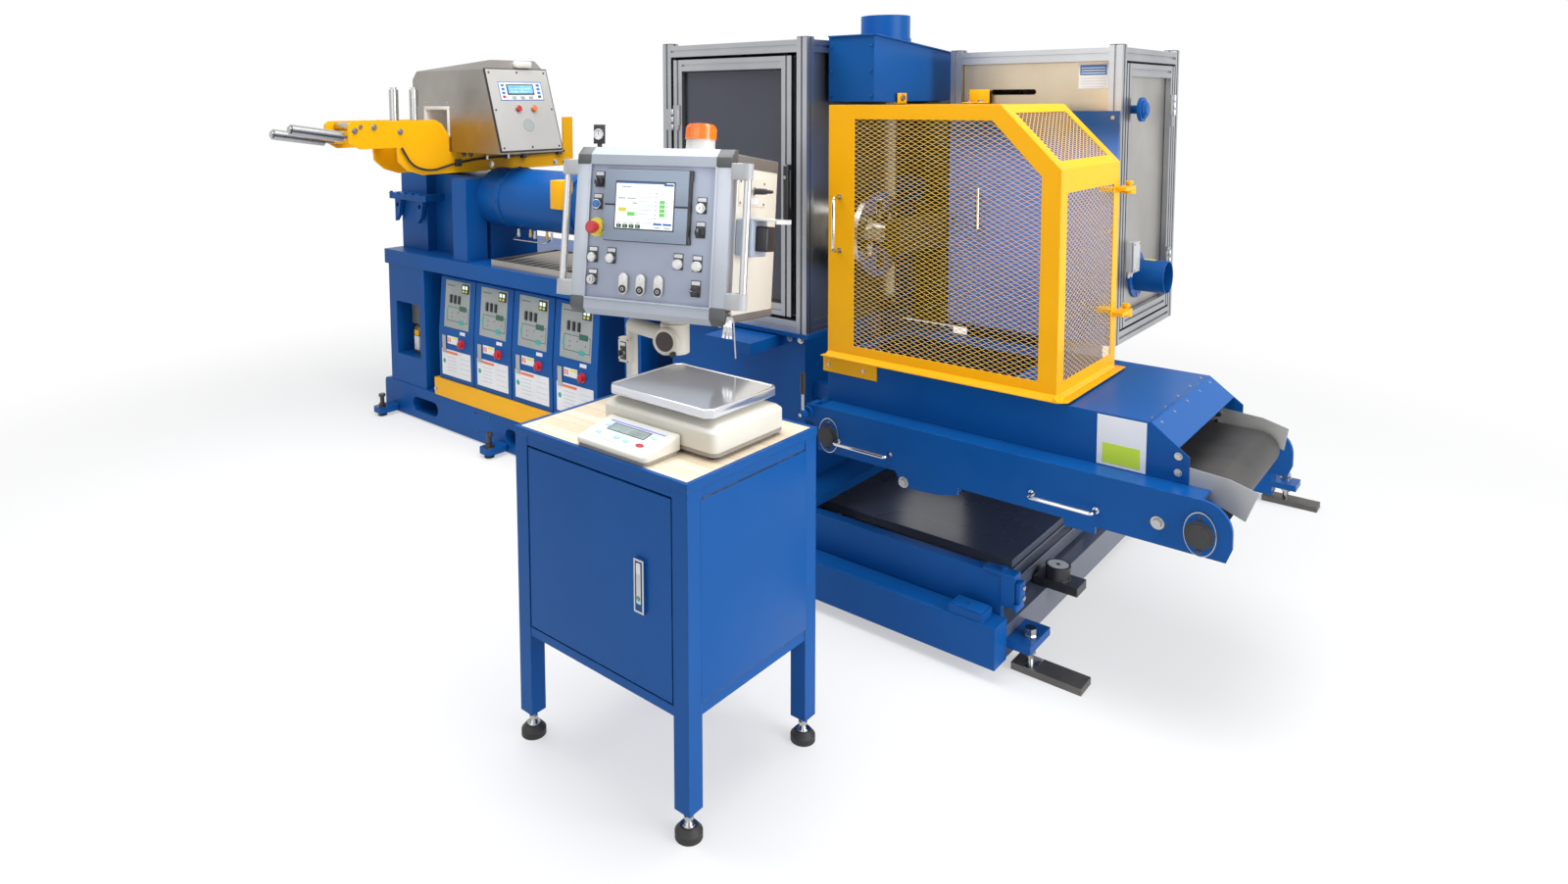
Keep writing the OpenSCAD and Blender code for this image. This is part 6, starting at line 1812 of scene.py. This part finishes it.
# ---------------------------------------------------------------- cutter head
# Cap screws in two rings and a bolted hub cap on the ground knife disc. Behind it a
# dark baffle closes the duct mouth, and a folded plate backs the chute.
disc_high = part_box("cutter_head")[1]
spin = Vector(joints["cutter_spin"]["pos_m"])
disc_face = to_right(disc_high.x - 0.040, spin.y, spin.z)
around = [disc_face @ about("Z", a) for a in range(30, 390, 60)]
head_parts = repeat(socket_screw(0.017, ground), [turn @ shift(0.124) for turn in around])
head_parts += repeat(socket_screw(0.012, ground), [turn @ shift(0.066) for turn in around])
hub_cap = turned(0.046, [(0, 0.004), (0.004, 0.002), (0.014, 0.003), (0.003, -0.002)], polished, 48)
head_parts += set_down(disc_face @ shift(z=0.0395), hub_cap)
head_parts += repeat(bolt(0.010, ground, False),
    [turn @ shift(0.036, 0, 0.0450) for turn in around])
assemble("knife_disc_screws", "cutter", head_parts)
chamber = [block((0.735, 0.3120, 1.440), (0.985, 0.3200, 1.738), black, 0.001),
    block((0.905, 0.2300, 1.3455), (1.000, 0.3125, 1.738), olive, 0.002)]
column_screws = repeat(socket_screw(0.014, ground), [to_right(1.0055, y, z)
    for y in (0.225, 0.295) for z in (0.930, 1.060, 1.190, 1.310)])
assemble("chamber_baffle", "machine", chamber + column_screws)
panel_corner = to_front(1.011, 0.2330, 0.892)
panel_screws = repeat(rivet(0.014, ground), grid((0.022, 0.606), (0.030, 0.400, 0.790), 0,
    panel_corner))
assemble("face_panel_screws", "machine", panel_screws)
chute_back = block((0.722, 0.2260, 0.560), (1.040, 0.2300, 0.8725), blue, 0.001)
hem = block((0.722, 0.2240, 0.560), (1.040, 0.2320, 0.572), blue, 0.002)
assemble("chute_back", "machine", [chute_back, hem])

# ---------------------------------------------------------------- rear of the line
# Behind the units are louvred covers with hose tails, the enclosure sheets are held by
# button screws, and a terminal box with glands serves the motor cover at the back.
louvre = block((0.030, 0.0, 0.0), (0.275, 0.010, 0.006), blue, 0.0015)
slide(louvre, "FACE", lambda face: face.normal.y > 0.9, z=-0.004)
louvre_places, tail_places, cover_screws = [], [], []
for i in range(4):
    back = to_rear(units_low.x + i * unit_pitch + unit_w, units_high.y, units_low.z)
    louvre_places += [back @ shift(0, 0.300 + row * 0.026) for row in range(8)]
    tail_places += [back @ shift(x, 0.085) for x in (0.070, 0.235)]
    cover_screws += grid((0.014, 0.291), (0.030, 0.280, 0.540), on=back)
assemble("unit_louvres", "machine", repeat(louvre, louvre_places))
tail = turned(0.019, [(0, 0.012), (0.004, 0), (0, 0.014), (0.0015, 0.004), (0, 0.010)], brass, 6)
assemble("hose_tails", "machine", repeat(tail, tail_places))
assemble("cover_screws", "machine", repeat(rivet(0.011, ground), cover_screws))
sheet_screws = []
for node_name in ("centre_frame", "right_frame"):
    frame_low, frame_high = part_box(node_name)
    wide, deep, tall = frame_high - frame_low
    heights = (0.070, tall * 0.5, tall - 0.092)
    rear = to_rear(frame_high.x, frame_high.y - 0.0205, frame_low.z)
    sheet_screws += grid((0.062, wide - 0.062), heights, on=rear)
    flank = to_left(frame_low.x + 0.0205, frame_low.y, frame_low.z)
    sheet_screws += grid((0.062 - deep, -0.062), heights, on=flank)
assemble("sheet_screws", "machine", repeat(rivet(0.012, ground), sheet_screws))
terminal = to_rear(housing_low.x + 0.330, 0.172, 1.000)
terminal_parts = [block((0, 0, -0.004), (0.210, 0.150, 0.050), blue, 0.004),
    block((0.006, 0.006, 0.050), (0.204, 0.144, 0.058), blue, 0.003)]
terminal_parts += repeat(socket_screw(0.010, ground), grid((0.018, 0.192), (0.018, 0.132), 0.058))
terminal_parts += repeat(turned(0.015, [(0, 0.014), (0.003, 0.010)], box_grey, 12),
    [to_front(x, 0.001, 0.026) for x in (0.050, 0.105, 0.160)])
assemble("terminal_box", "machine", terminal_parts, terminal)
